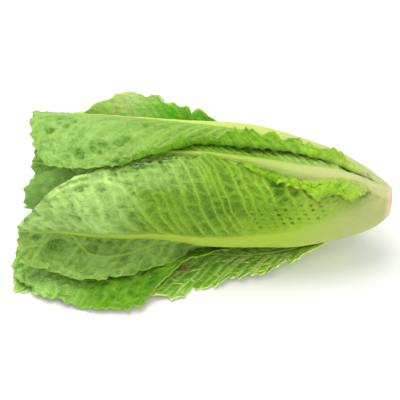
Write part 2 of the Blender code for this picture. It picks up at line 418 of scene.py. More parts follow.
@dataclass(frozen=True)
class Ridge:
    """A stout vein or fold line along a path of (along, off) points."""

    path: Profile
    height: float = 1.0
    width: float = 1.4

    def at(self, along: np.ndarray, off: np.ndarray) -> np.ndarray:
        """Strength of the ridge at every point.

        Args:
            along: distance from the stem cut.
            off: signed distance from the midrib.

        Returns:
            1 on the path, falling to 0 beside it.
        """
        near = np.full(along.shape, FAR)
        for (a0, b0), (a1, b1) in zip(self.path, self.path[1:]):
            run = (a1 - a0) ** 2 + (b1 - b0) ** 2
            u = np.clip(((along - a0) * (a1 - a0) + (off - b0) * (b1 - b0)) / run, 0, 1)
            gap = np.hypot(along - a0 - u * (a1 - a0), off - b0 - u * (b1 - b0))
            near = np.minimum(near, gap)
        return np.exp(-((near / self.width) ** 2))


# Midrib: half width, height outside and depth inside, against the distance along.
RIB_HALF_WIDTH = (
    (0.0, 13.0), (15.0, 12.5), (30.0, 11.5), (60.0, 9.0), (78.0, 8.0), (113.0, 6.0),
    (155.0, 4.1), (195.0, 2.3), (235.0, 1.6), (300.0, 1.0),
)
SLIM_RIB = tuple((along, 0.5 * half) for along, half in RIB_HALF_WIDTH)
FAINT_RIB = ((0, 8.0), (40, 5.0), (70, 1.8), (110, 1.0), (310, 0.6))
RIB_HEIGHT = (
    (0.0, 0.4), (15.0, 1.4), (40.0, 2.4), (80.0, 2.6), (140.0, 2.0), (200.0, 1.3),
    (260.0, 0.8), (310.0, 0.5),
)
RIB_DEPTH = (
    (0.0, 0.6), (30.0, 3.0), (80.0, 3.2), (140.0, 2.2), (200.0, 1.3), (260.0, 0.6),
    (310.0, 0.3),
)

# Blade: half its thickness, and the rows that round off its cut end.
BLADE_HALF = 0.35
BASE_STEPS = (0.0, 0.4, 0.9, 1.5, 2.3, 3.3, 4.6, 6.2)
BASE_ROUNDING = 0.17
BASE_ROUND_END = 9.0

# What the finish reads, and the flat map's unit and its step from leaf to leaf.
STORED_VALUES = ("vein", "cross", "rib", "cell", "edge", "along", "upper", "sheen_brow", "stain")
FLAT_MAP_SIZE = 100.0
FLAT_MAP_STEP = 0.37


@dataclass(frozen=True)
class Carving:
    """How wide and how deep the surface and the margins of every leaf are worked.

    A pitch is the length of one bump along the leaf and across it.  A reach is how far
    something carries, a start or an end is a stretch along the leaf over which it
    comes in or dies out, and a share is a part of full strength.
    """

    rib_melts: Pair = (50.0, 150.0)
    rib_sunk: float = 0.35
    rib_crown: float = 2.4
    rib_shoulder: float = 0.55
    relief_start: Pair = (26.0, 75.0)
    stout_end: Pair = (70.0, 150.0)
    stout_reach: float = 16.0
    stout_side: float = 1.1
    stout_cross: float = 1.5
    side_width: float = 0.75
    side_root: float = 0.6
    side_root_reach: float = 22.0
    side_uneven: float = 0.35
    cross_width: float = 0.6
    cross_uneven: float = 0.5
    width_pitch: Pair = (24.0, 16.0)
    vein_core: float = 0.4
    vein_height: float = 0.6
    cross_height: float = 0.25
    vein_pucker_loss: float = 0.5
    cell_reach: float = 2.1
    cell_joined: float = 0.45
    cell_pucker_loss: float = 0.45
    cell_pitch: Pair = (20.0, 20.0)
    cell_uneven: float = 0.5
    cell_edge_share: float = 0.4
    cell_edge_reach: float = 14.0
    dent_pitch: Pair = (8.5, 6.5)
    dent_from: Pair = (0.05, 0.75)
    small_dent_pitch: Pair = (4.2, 3.6)
    small_dent_from: Pair = (0.1, 0.8)
    small_dent_share: float = 0.7
    crinkle_pitch: Pair = (5.5, 5.5)
    billow_pitch: Pair = (38.0, 30.0)
    billow_start: Pair = (20.0, 90.0)
    ruffle_pitch: Pair = (12.0, 34.0)
    small_ruffle_pitch: Pair = (5.0, 16.0)
    small_ruffle_share: float = 0.6
    crumple_pitch: Pair = (6.5, 6.5)
    crumple_reach: float = 9.0
    teeth_start: Pair = (8.0, 50.0)
    teeth_reach: float = 3.5
    calm_loss: float = 0.8
    high_margin_teeth: float = 400.0
    tip_teeth: float = 800.0


@dataclass(frozen=True)
class PitRows:
    """Rows of small pits between the side veins close to the midrib."""

    seed: int
    along: Pair
    off: Pair
    spacing: float = 6.5
    pitch: float = 4.2
    radius: float = 1.25
    depth: float = 1.6
    size: Pair = (0.35, 1.15)
    fade_along: Pair = (10.0, 14.0)
    fade_off: Pair = (3.0, 7.0)

    def zone(self, along: np.ndarray, off: np.ndarray) -> np.ndarray:
        """Where the pits are.

        Args:
            along: distance from the stem cut.
            off: signed distance from the midrib.

        Returns:
            1 inside the stretch with pits, 0 outside.
        """
        (start, end), (near, far) = self.along, self.off
        rising = ease(start, start + self.fade_along[0], along) * ease(
            near, near + self.fade_off[0], off)
        falling = (1 - ease(end - self.fade_along[1], end, along)) * (
            1 - ease(far - self.fade_off[1], far, off))
        return rising * falling

    def at(self, lateral: np.ndarray, off: np.ndarray) -> np.ndarray:
        """Strength of the pits at every point, from 0 to 1.

        Args:
            lateral: where the side vein through each point leaves the midrib.
            off: signed distance from the midrib.

        Returns:
            1 in the middle of a full pit, 0 between pits.
        """
        rng = np.random.default_rng(self.seed)
        shift, size = rng.uniform(-0.5, 0.5, 97), rng.uniform(*self.size, (97, 31))
        row = np.floor(lateral / self.spacing).astype(int) % 97
        place = off / self.pitch + shift[row]
        pit = np.floor(place).astype(int) % 31
        x = (lateral / self.spacing % 1 - 0.5) * self.spacing
        y = (place % 1 - 0.5) * self.pitch
        return np.clip(size[row, pit] * np.exp(-(x * x + y * y) / self.radius ** 2), 0, 1)


@dataclass(frozen=True)
class Notch:
    """A narrow cut in a margin."""

    side: Side
    along: float
    depth: float
    width: float

    def at(self, sheet: Sheet) -> np.ndarray:
        """How far the margin is cut back.

        Args:
            sheet: the leaf.

        Returns:
            Distance that every point moves in from the margin.
        """
        near = np.exp(-((sheet.along - self.along) / self.width) ** 2)
        near = near * (np.sign(sheet.off) == self.side.value)
        return self.depth * near * np.exp(-sheet.to_edge / (1.6 * self.depth))


@dataclass(frozen=True)
class RolledMargin:
    """A strip of margin that rolls over.

    widths gives the strip's width along the leaf, turn how far it rolls over.
    """

    side: Side
    way: Turn
    widths: Profile
    turn: float = 165.0
    radius: float = 3.2
    columns: int = 16


@dataclass(frozen=True)
class LeafForm:
    """Everything that shapes one leaf."""

    node: str
    stations: tuple[Station, ...]
    seed: int
    sweep: float = 12.0
    floor: float = 0.0
    rows: int = 190
    columns: int = 110
    rolls: tuple[RolledMargin, ...] = ()
    swells: tuple[Swell, ...] = ()
    ridges: tuple[Ridge, ...] = ()
    pits: tuple[PitRows, ...] = ()
    notches: tuple[Notch, ...] = ()
    # Strip near the high margin, as off from, off to, along from and along to, that the finish
    # paints with the pale tip colour and its painted highlight.
    sheen_brow: tuple[float, float, float, float] = NEVER + NEVER
    stains: tuple[Swell, ...] = ()
    ruffle: float = 2.6
    ruffle_reach: float = 9.0
    ruffle_start: Pair = (20.0, 70.0)
    teeth: Teeth = field(default_factory=lambda: Teeth(1))
    calm_from: Pair = NEVER
    blister: float = 1.7
    billow: float = 1.2
    rib: float = 1.0
    rib_width: Profile = RIB_HALF_WIDTH
    rib_fade: Pair = NEVER
    vein_width: float = 1.0
    pucker: float = 1.0
    pucker_from: Pair = (60.0, 140.0)
    crumple: float = 0.0
    crinkle: float = 0.5
    frills: tuple[Frill, ...] = ()
    veins: VeinPattern = field(default_factory=lambda: VeinPattern(1))


@dataclass
class Sheet:
    """A leaf grid with its place along the leaf and across it."""

    points: np.ndarray
    along: np.ndarray
    off: np.ndarray
    to_edge: np.ndarray
    to_tip: np.ndarray

    def noise(self, seed: int, pitch: Pair, layers: int = 1) -> np.ndarray:
        """Noise laid over the leaf, one bump to each pitch."""
        return Noise(seed).layered(self.along / pitch[0], self.off / pitch[1], layers)


@dataclass
class Relief:
    """What stands out of the blade and what sinks into it, at every point."""

    vein: np.ndarray
    cross: np.ndarray
    cell: np.ndarray
    dent: np.ndarray
    raised: np.ndarray
    depth: np.ndarray
    pitted: np.ndarray


@dataclass
class Leaf:
    """One leaf: it builds the closed mesh and the values that its finish reads."""

    form: LeafForm
    axis: HeadAxis
    finish: LeafFinish
    carving: Carving = Carving()

    def drawn(self) -> tuple[np.ndarray, np.ndarray]:
        """Draw the leaf's grid through its stations.

        Returns:
            The grid's points, and each row's distance along.
        """
        form = self.form
        knots = np.array([s.along for s in form.stations], float)
        evenly = np.linspace(knots[0] + BASE_STEPS[-1], knots[-1], form.rows)
        along = np.append(knots[0] + np.array(BASE_STEPS[:-1]), evenly)
        t = (along - knots[0]) / (knots[-1] - knots[0])
        s = np.linspace(-1, 1, form.columns)
        rows, columns = reading_weights(knots, along), reading_weights(ACROSS, s)
        angles = rows @ np.array([p.angles for p in form.stations]) @ columns.T
        outs = rows @ np.array([p.outs for p in form.stations], float) @ columns.T
        outs = outs * (1 - BASE_ROUNDING * (1 - ease(0.0, BASE_ROUND_END, along)))[:, None]
        lag = form.sweep * t[:, None] ** 3 * s[None, :] ** 2
        a = np.radians(angles)
        points = np.stack([lag - along[:, None], -outs * np.cos(a), outs * np.sin(a)], 2)
        low = form.floor - AXIS_HEIGHT
        above = (points[..., 2] - low) / FLOOR_SOFTNESS
        points[..., 2] = low + np.logaddexp(0.0, above) * FLOOR_SOFTNESS
        return points, along

    def rolled(self, points: np.ndarray, along: np.ndarray, roll: RolledMargin) -> np.ndarray:
        """Add a margin strip that rolls over.

        Args:
            points: the leaf grid so far.
            along: each row's distance along the axis.
            roll: the strip.

        Returns:
            The grid with the strip's columns on its side.
        """
        noise = Noise(self.form.seed + 51)

        def uneven(share: float, pitch: float, shift: float) -> np.ndarray:
            """Factor that changes slowly along the margin."""
            return 1 + share * noise.at(along / pitch, 0 * along + shift)

        normal = grid_normals(points)
        at, inside = (0, 1) if roll.side is Side.LOW else (-1, -2)
        edge, out = points[:, at], unit(points[:, at] - points[:, inside])
        lift = normal[:, at] * roll.way.value
        width = read_profile(roll.widths, along) * uneven(0.25, 9, 0)
        radius = np.minimum(roll.radius, 0.17 * width + 0.1) * uneven(0.3, 17, 5)
        most = radians(roll.turn) * uneven(0.1, 23, 9) * ease(0.5, 4.0, width)
        strip = []
        for k in range(1, roll.columns + 1):
            length = width * k / roll.columns
            angle = np.minimum(length / radius, most)
            rest = np.maximum(length - radius * most, 0)
            ahead = radius * np.sin(angle) + rest * np.cos(most)
            up = radius * (1 - np.cos(angle)) + rest * np.sin(most)
            strip.append(edge + out * ahead[:, None] + lift * up[:, None])
        if roll.side is Side.LOW:
            return np.concatenate([np.stack(strip[::-1], 1), points], 1)
        return np.concatenate([points, np.stack(strip, 1)], 1)

    def measured(self, points: np.ndarray, along: np.ndarray, middle: int) -> Sheet:
        """Measure distances over the leaf from its midrib, margins and tip.

        Args:
            points: the leaf grid.
            along: each row's distance along the axis.
            middle: the midrib's column.

        Returns:
            The grid with its distances.
        """
        step = np.linalg.norm(np.diff(points, axis=1), axis=2)
        length = np.concatenate([np.zeros((len(points), 1)), np.cumsum(step, axis=1)], 1)
        off = length - length[:, middle:middle + 1]
        to_edge = np.minimum(off - off[:, :1], off[:, -1:] - off)
        both = np.repeat(along[:, None], points.shape[1], 1)
        return Sheet(points, both, off, to_edge, along[-1] - both)

    def billowed(self, sheet: Sheet) -> None:
        """Give the blade slow swells and hollows, none at the stem.

        Args:
            sheet: the leaf, whose points are moved.
        """
        form, work = self.form, self.carving
        swell = sheet.noise(form.seed + 5, work.billow_pitch, 2)
        height = form.billow * swell * ease(*work.billow_start, sheet.along)
        for bulge in form.swells:
            height = height + bulge.at(sheet.along, sheet.off)
        sheet.points = sheet.points + grid_normals(sheet.points) * height[..., None]

    def waved(self, sheet: Sheet) -> np.ndarray:
        """Ruffles, crumples and frills of the margins.

        Args:
            sheet: the leaf.

        Returns:
            Height out of the blade at every point.
        """
        form, work = self.form, self.carving
        noise = Noise(form.seed + 3)
        c = form.veins.lateral(sheet.along, sheet.off) + 150 * (sheet.off > 0)
        (along, across), (small_along, small_across) = work.ruffle_pitch, work.small_ruffle_pitch
        wave = noise.at(c / along, sheet.off / across) + work.small_ruffle_share * noise.at(
            c / small_along + 9, sheet.off / small_across)
        start = ease(*form.ruffle_start, sheet.along)
        edge = np.minimum(sheet.to_edge, sheet.to_tip)
        near = np.exp(-edge / form.ruffle_reach) * start
        height = form.ruffle * near * wave
        rough = sheet.noise(form.seed + 7, work.crumple_pitch, 2)
        height = height + form.crumple * rough * np.exp(-edge / work.crumple_reach) * start
        for frill in form.frills:
            height = height + frill.at(sheet, form.seed)
        return height

    def toothed(self, sheet: Sheet) -> np.ndarray:
        """Teeth and notches of the margins.

        Args:
            sheet: the leaf.

        Returns:
            How far every point moves within the blade.
        """
        form, work = self.form, self.carving
        low, high, end = (
            np.append(0.0, np.cumsum(np.linalg.norm(np.diff(line, axis=0), axis=1)))
            for line in (sheet.points[:, 0], sheet.points[:, -1], sheet.points[-1]))
        side = np.where(sheet.off < 0, form.teeth.at(low)[:, None],
                        form.teeth.at(high + work.high_margin_teeth)[:, None])
        side = side * np.exp(-sheet.to_edge / work.teeth_reach) * (
            1 - work.calm_loss * ease(*form.calm_from, sheet.along))
        for notch in form.notches:
            side = side - notch.at(sheet)
        tip = form.teeth.at(end + work.tip_teeth)[None, :] * np.exp(
            -sheet.to_tip / work.teeth_reach)
        across = unit(np.gradient(sheet.points, axis=1)) * np.sign(sheet.off)[..., None]
        ahead = unit(np.gradient(sheet.points, axis=0))
        grown = ease(*work.teeth_start, sheet.along)[..., None]
        return (across * side[..., None] + ahead * tip[..., None]) * grown

    def ruffled(self, sheet: Sheet) -> None:
        """Wave the margins up and down, and cut them into uneven teeth.

        Args:
            sheet: the leaf, whose points are moved.
        """
        lift = grid_normals(sheet.points) * self.waved(sheet)[..., None]
        sheet.points = sheet.points + lift + self.toothed(sheet)

    def midrib(self, sheet: Sheet) -> tuple[np.ndarray, np.ndarray]:
        """Section of the midrib, which melts into the blade near the stem.

        Args:
            sheet: the shaped leaf.

        Returns:
            The midrib's share at every point, and how clear of it each point is,
            both from 0 to 1.
        """
        work = self.carving
        x = np.abs(sheet.off) / read_profile(self.form.rib_width, sheet.along)
        melt = 1 - ease(*work.rib_melts, sheet.along)
        firm = np.clip(1 - x ** work.rib_crown, 0, 1) ** work.rib_shoulder
        rib = firm + melt * (1 - ease(0.1, 1.7, x) - firm)
        return rib, ease(0.85 + 0.2 * melt, 1.5 + 0.6 * melt, x)

    def veined(self, sheet: Sheet, beside: np.ndarray) -> Relief:
        """Veins with blistered cells between them.

        Args:
            sheet: the shaped leaf.
            beside: how clear of the midrib each point is.

        Returns:
            The relief of the plain blade.
        """
        form, work = self.form, self.carving
        to_side, strong, to_cross = form.veins.read(sheet.along, sheet.off)
        q = np.abs(sheet.off)
        past_rib = np.maximum(q - read_profile(form.rib_width, sheet.along), 0)
        stout = np.exp(-past_rib / work.stout_reach) * (1 - ease(*work.stout_end, sheet.along))
        vary = sheet.noise(form.seed + 31, work.width_pitch)
        side_width = work.side_width + work.side_root * np.exp(-q / work.side_root_reach)
        side_width = side_width * (1 + work.side_uneven * vary) + work.stout_side * stout
        side_width = side_width * form.vein_width
        cross_width = work.cross_width * (1 + work.cross_uneven * vary)
        cross_width = (cross_width + work.stout_cross * stout) * form.vein_width
        rough = ease(*form.pucker_from, sheet.along)
        puckered = rough * min(form.pucker, 1.0)
        vein = np.exp(-((to_side / side_width) ** 2)) * strong * beside * (
            1 - work.vein_pucker_loss * puckered)
        cross = np.exp(-((to_cross / cross_width) ** 2)) * beside
        steep = work.cell_reach * (1 - 0.5 * stout)
        valley, rung_valley = (
            1 - np.exp(-((np.maximum(gap - work.vein_core * width, 0) / steep) ** 2))
            for gap, width in ((to_side, side_width), (to_cross, cross_width)))
        joined = work.cell_joined * (1 - stout)
        cell = valley * (joined + (1 - joined) * rung_valley) * (
            1 - work.cell_pucker_loss * puckered)
        dent = self.dented(sheet) * rough * beside * (1 - 0.6 * vein)
        grown = ease(*work.relief_start, sheet.along)
        strength = 1 + work.cell_uneven * sheet.noise(form.seed + 21, work.cell_pitch)
        fade = work.cell_edge_share + (1 - work.cell_edge_share) * ease(
            0, work.cell_edge_reach, sheet.to_edge)
        depth = form.blister * cell * strength * beside * grown * fade + form.pucker * dent
        crinkle = sheet.noise(form.seed + 41, work.crinkle_pitch, 2)
        depth = depth + form.crinkle * crinkle * (0.4 + 0.6 * cell) * beside * grown
        raised = (work.vein_height * vein + work.cross_height * cross) * grown
        return Relief(vein, cross, cell, dent, raised, depth, np.zeros(sheet.along.shape))

    def dented(self, sheet: Sheet) -> np.ndarray:
        """Large and small dents of the puckered blade.

        Args:
            sheet: the shaped leaf.

        Returns:
            Strength of the dents, from 0 to 1.
        """
        work, seed = self.carving, self.form.seed + 71
        large = ease(*work.dent_from, sheet.noise(seed, work.dent_pitch, 2))
        small = ease(*work.small_dent_from, sheet.noise(seed + 1, work.small_dent_pitch))
        return np.maximum(large, work.small_dent_share * small)

    def marked(self, sheet: Sheet, beside: np.ndarray, relief: Relief) -> None:
        """Sink the rows of pits and raise the ridges.

        Args:
            sheet: the shaped leaf.
            beside: how clear of the midrib each point is.
            relief: the relief, which is changed.
        """
        lateral = self.form.veins.lateral(sheet.along, sheet.off)
        for pits in self.form.pits:
            zone = pits.zone(sheet.along, sheet.off)
            hole = zone * pits.at(lateral, sheet.off)
            calm = 1 - 0.85 * zone
            relief.cell, relief.vein, relief.cross = (
                layer * calm for layer in (relief.cell, relief.vein, relief.cross))
            relief.raised = relief.raised * (1 - 0.6 * zone)
            relief.depth = relief.depth * (1 - 0.75 * zone) + pits.depth * hole
            relief.pitted = np.maximum(relief.pitted, hole)
        for ridge in self.form.ridges:
            here = ridge.at(sheet.along, sheet.off)
            relief.raised = relief.raised + ridge.height * here
            relief.depth = relief.depth * (1 - 0.8 * here)
            relief.vein = np.maximum(relief.vein, here * beside)

    def values(self, sheet: Sheet, rib: np.ndarray, beside: np.ndarray,
               relief: Relief) -> dict[str, np.ndarray]:
        """Gather what the finish reads.

        Args:
            sheet: the shaped leaf.
            rib: the midrib's share at every point.
            beside: how clear of the midrib each point is.
            relief: the finished relief.

        Returns:
            A number for every point, under each name that the finish uses.
        """
        form, along, off = self.form, sheet.along, sheet.off
        none = np.zeros(along.shape)
        hollow = sum((np.maximum(-swell.at(along, off), 0) for swell in form.swells), none)
        stain = sum((stain.at(along, off) for stain in form.stains), none)
        return {
            "vein": relief.vein,
            "cross": relief.cross,
            "rib": ease(0.05, 0.6, rib) * (1 - 0.8 * ease(*form.rib_fade, along)),
            # Painted shade for the finish: hollows between the veins, dents, hollow swells and,
            # darkest, the pits.
            "cell": np.maximum.reduce([
                relief.cell * beside * ease(*self.carving.relief_start, along),
                0.9 * relief.dent * min(form.pucker, 1.0),
                1.5 * np.clip(hollow / 1.7, 0, 1),
                2.0 * relief.pitted]),
            "stain": np.clip(stain, 0, 1),
            # Strip near the upper margin that the finish paints with the pale tip colour and its
            # painted highlight.
            "sheen_brow": ease(*form.sheen_brow[:2], off) * ease(*form.sheen_brow[2:], along),
            # Half above the midrib; the finish paints shade on the half below it and keeps the
            # highlight off it.
            "upper": ease(-4, 8, off),
            "edge": np.minimum(sheet.to_edge, sheet.to_tip) + 30 * (1 - ease(8, 40, along)),
            "along": along,
            "off": off,
        }

    def skins(self, sheet: Sheet) -> tuple[np.ndarray, np.ndarray, dict[str, np.ndarray]]:
        """Outer and inner skins with blisters, veins and midrib.

        Args:
            sheet: the shaped leaf.

        Returns:
            Outer grid, inner grid, and the values that the finish reads.
        """
        work = self.carving
        rib, beside = self.midrib(sheet)
        relief = self.veined(sheet, beside)
        self.marked(sheet, beside, relief)
        height = read_profile(RIB_HEIGHT, sheet.along) * self.form.rib
        deep = read_profile(RIB_DEPTH, sheet.along) * self.form.rib
        normal = grid_normals(sheet.points)
        middle = sheet.points - normal * relief.depth[..., None]
        above = BLADE_HALF + relief.raised + height * (rib - work.rib_sunk)
        below = BLADE_HALF + deep * rib + work.rib_sunk * height
        return (middle + normal * above[..., None], middle - normal * below[..., None],
                self.values(sheet, rib, beside, relief))

    def closed(self, outer: np.ndarray, inner: np.ndarray) -> tuple[np.ndarray, np.ndarray]:
        """Join two skins into one closed body.

        Args:
            outer: outer grid.
            inner: inner grid of the same shape.

        Returns:
            Vertices in millimetres and quads that face outwards.
        """
        rows, columns = outer.shape[:2]
        ids = np.arange(rows * columns).reshape(rows, columns)
        front = np.stack([ids[:-1, :-1], ids[:-1, 1:], ids[1:, 1:], ids[1:, :-1]], 2)
        back = front[..., ::-1] + rows * columns
        loop = np.concatenate([ids[0, :-1], ids[:-1, -1], ids[-1, :0:-1], ids[:0:-1, 0]])
        after = np.roll(loop, -1)
        rim = np.stack([after, loop, loop + rows * columns, after + rows * columns], 1)
        faces = np.concatenate([front.reshape(-1, 4), back.reshape(-1, 4), rim])
        return np.concatenate([outer.reshape(-1, 3), inner.reshape(-1, 3)]), faces

    def build(self) -> bpy.types.Object:
        """Build, dress and place the leaf.

        Returns:
            The finished piece, riding on the head.
        """
        form = self.form
        points, along = self.drawn()
        middle = form.columns // 2
        for roll in form.rolls:
            points = self.rolled(points, along, roll)
            middle += roll.columns if roll.side is Side.LOW else 0
        sheet = self.measured(points, along, middle)
        self.billowed(sheet)
        self.ruffled(sheet)
        outer, inner, values = self.skins(sheet)
        verts, faces = self.closed(outer, inner)
        verts[:, 2] = np.maximum(verts[:, 2], FLOOR_GAP - self.axis.z)
        mesh = bpy.data.meshes.new(form.node)
        mesh.from_pydata(self.axis.metres(verts).tolist(), [], faces.tolist())
        self.write_values(mesh, values)
        mesh.shade_smooth()
        mesh.materials.append(self.finish.material(form.node))
        leaf = bpy.data.objects.new(f"{form.node}_blade", mesh)
        bpy.context.scene.collection.objects.link(leaf)
        return settle(leaf, form.node)

    def write_values(self, mesh: bpy.types.Mesh, values: dict[str, np.ndarray]) -> None:
        """Store the leaf's values on its vertices, and its flat map as a UV layer.

        Args:
            mesh: the leaf's mesh, outer skin first.
            values: a number for every point of a skin, under each name.
        """
        stored = {name: np.tile(values[name].reshape(-1), 2) for name in STORED_VALUES}
        stored["inside"] = np.repeat((0.0, 1.0), values["along"].size)
        for name, numbers in stored.items():
            mesh.attributes.new(name, "FLOAT", "POINT").data.foreach_set("value", numbers)
        flat = np.stack([values["along"].reshape(-1), values["off"].reshape(-1)], 1)
        flat = np.tile(flat, (2, 1)) / FLAT_MAP_SIZE + self.form.seed * FLAT_MAP_STEP
        corner = np.empty(len(mesh.loops), int)
        mesh.loops.foreach_get("vertex_index", corner)
        layer = mesh.uv_layers.new(name="flat")
        layer.data.foreach_set("uv", flat[corner].reshape(-1))


def settle(piece: bpy.types.Object, node: str) -> bpy.types.Object:
    """Let a piece ride on the head and stand for its node, whose part is hidden.

    Args:
        piece: the finished piece.
        node: the node that it stands for.

    Returns:
        The same piece.
    """
    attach(piece, BODY)
    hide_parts(node)
    return piece


@dataclass(frozen=True)
class Wire:
    """A shader value that can be added, taken away and multiplied."""

    bench: NodeBench
    socket: bpy.types.NodeSocket

    def __add__(self, other: Wire | float) -> Wire:
        """The sum."""
        return self.bench.maths("ADD", self, other)

    def __sub__(self, other: Wire | float) -> Wire:
        """What is left."""
        return self.bench.maths("SUBTRACT", self, other)

    def __rsub__(self, other: float) -> Wire:
        """What is left of a number."""
        return self.bench.maths("SUBTRACT", other, self)

    def __mul__(self, other: Wire | float) -> Wire:
        """The product."""
        return self.bench.maths("MULTIPLY", self, other)


class NodeBench:
    """Short ways to add and link shader nodes."""

    def __init__(self, name: str) -> None:
        """Start a material with its shader.

        Args:
            name: name of the material.
        """
        self.material = bpy.data.materials.new(name)
        self.material.use_nodes = True
        self.tree = self.material.node_tree
        self.shader = self.tree.nodes["Principled BSDF"]

    def feed(self, socket: bpy.types.NodeSocket, given: Wire | Colour | float) -> None:
        """Link a wire into a socket, or set the socket to a colour or a number.

        Args:
            socket: the input.
            given: what goes in.
        """
        if isinstance(given, Wire):
            self.tree.links.new(given.socket, socket)
        elif isinstance(given, tuple):
            socket.default_value = (*given, 1.0)
        else:
            socket.default_value = given

    def dress(self, **inputs: Wire | Colour | float) -> None:
        """Set the shader's inputs; an underscore in a name stands for a space."""
        for name, given in inputs.items():
            self.feed(self.shader.inputs[name.replace("_", " ")], given)

    def add(self, kind: str, result: str | int,
            inputs: dict[str | int, Wire | Colour | float], **choices: str | bool) -> Wire:
        """Add one node.

        Args:
            kind: type of the node.
            result: the output to read.
            inputs: what goes into each input.
            choices: the node's own settings.

        Returns:
            The chosen output.
        """
        node = self.tree.nodes.new(kind)
        for setting, choice in choices.items():
            setattr(node, setting, choice)
        for name, given in inputs.items():
            self.feed(node.inputs[name], given)
        return Wire(self, node.outputs[result])

    def value(self, name: str) -> Wire:
        """A number stored on the mesh."""
        return self.add("ShaderNodeAttribute", "Fac", {}, attribute_name=name)

    def flat_map(self) -> Wire:
        """The leaf's flat map."""
        return self.add("ShaderNodeUVMap", "UV", {}, uv_map="flat")

    def ramp(self, fac: Wire, low: float, high: float) -> Wire:
        """0 at low, 1 at high, clamped."""
        inputs = {"Value": fac, "From Min": low, "From Max": high}
        return self.add("ShaderNodeMapRange", "Result", inputs, interpolation_type="SMOOTHSTEP")

    def fall(self, fac: Wire, low: float, high: float) -> Wire:
        """1 at low, 0 at high, clamped."""
        return 1.0 - self.ramp(fac, low, high)

    def maths(self, how: str, a: Wire | float, b: Wire | float, clamp: bool = False) -> Wire:
        """One calculation on two inputs."""
        return self.add("ShaderNodeMath", 0, {0: a, 1: b}, operation=how, use_clamp=clamp)

    def mix(self, fac: Wire, a: Wire | Colour, b: Wire | Colour) -> Wire:
        """Mix two colours."""
        return self.add("ShaderNodeMix", 2, {0: fac, 6: a, 7: b}, data_type="RGBA")

    def noise(self, where: Wire, scale: float, detail: float = 3.0) -> Wire:
        """Noise pattern."""
        inputs = {"Vector": where, "Scale": scale, "Detail": detail}
        return self.add("ShaderNodeTexNoise", "Fac", inputs)

    def net(self, where: Wire, scale: float) -> Wire:
        """Distance to the edges of uneven cells."""
        inputs = {"Vector": where, "Scale": scale}
        return self.add("ShaderNodeTexVoronoi", "Distance", inputs, feature="DISTANCE_TO_EDGE")

    def bump(self, height: Wire, distance: float, strength: float) -> None:
        """Drive the shader's normal from a height."""
        inputs = {"Height": height, "Distance": distance, "Strength": strength}
        self.dress(Normal=self.add("ShaderNodeBump", "Normal", inputs))


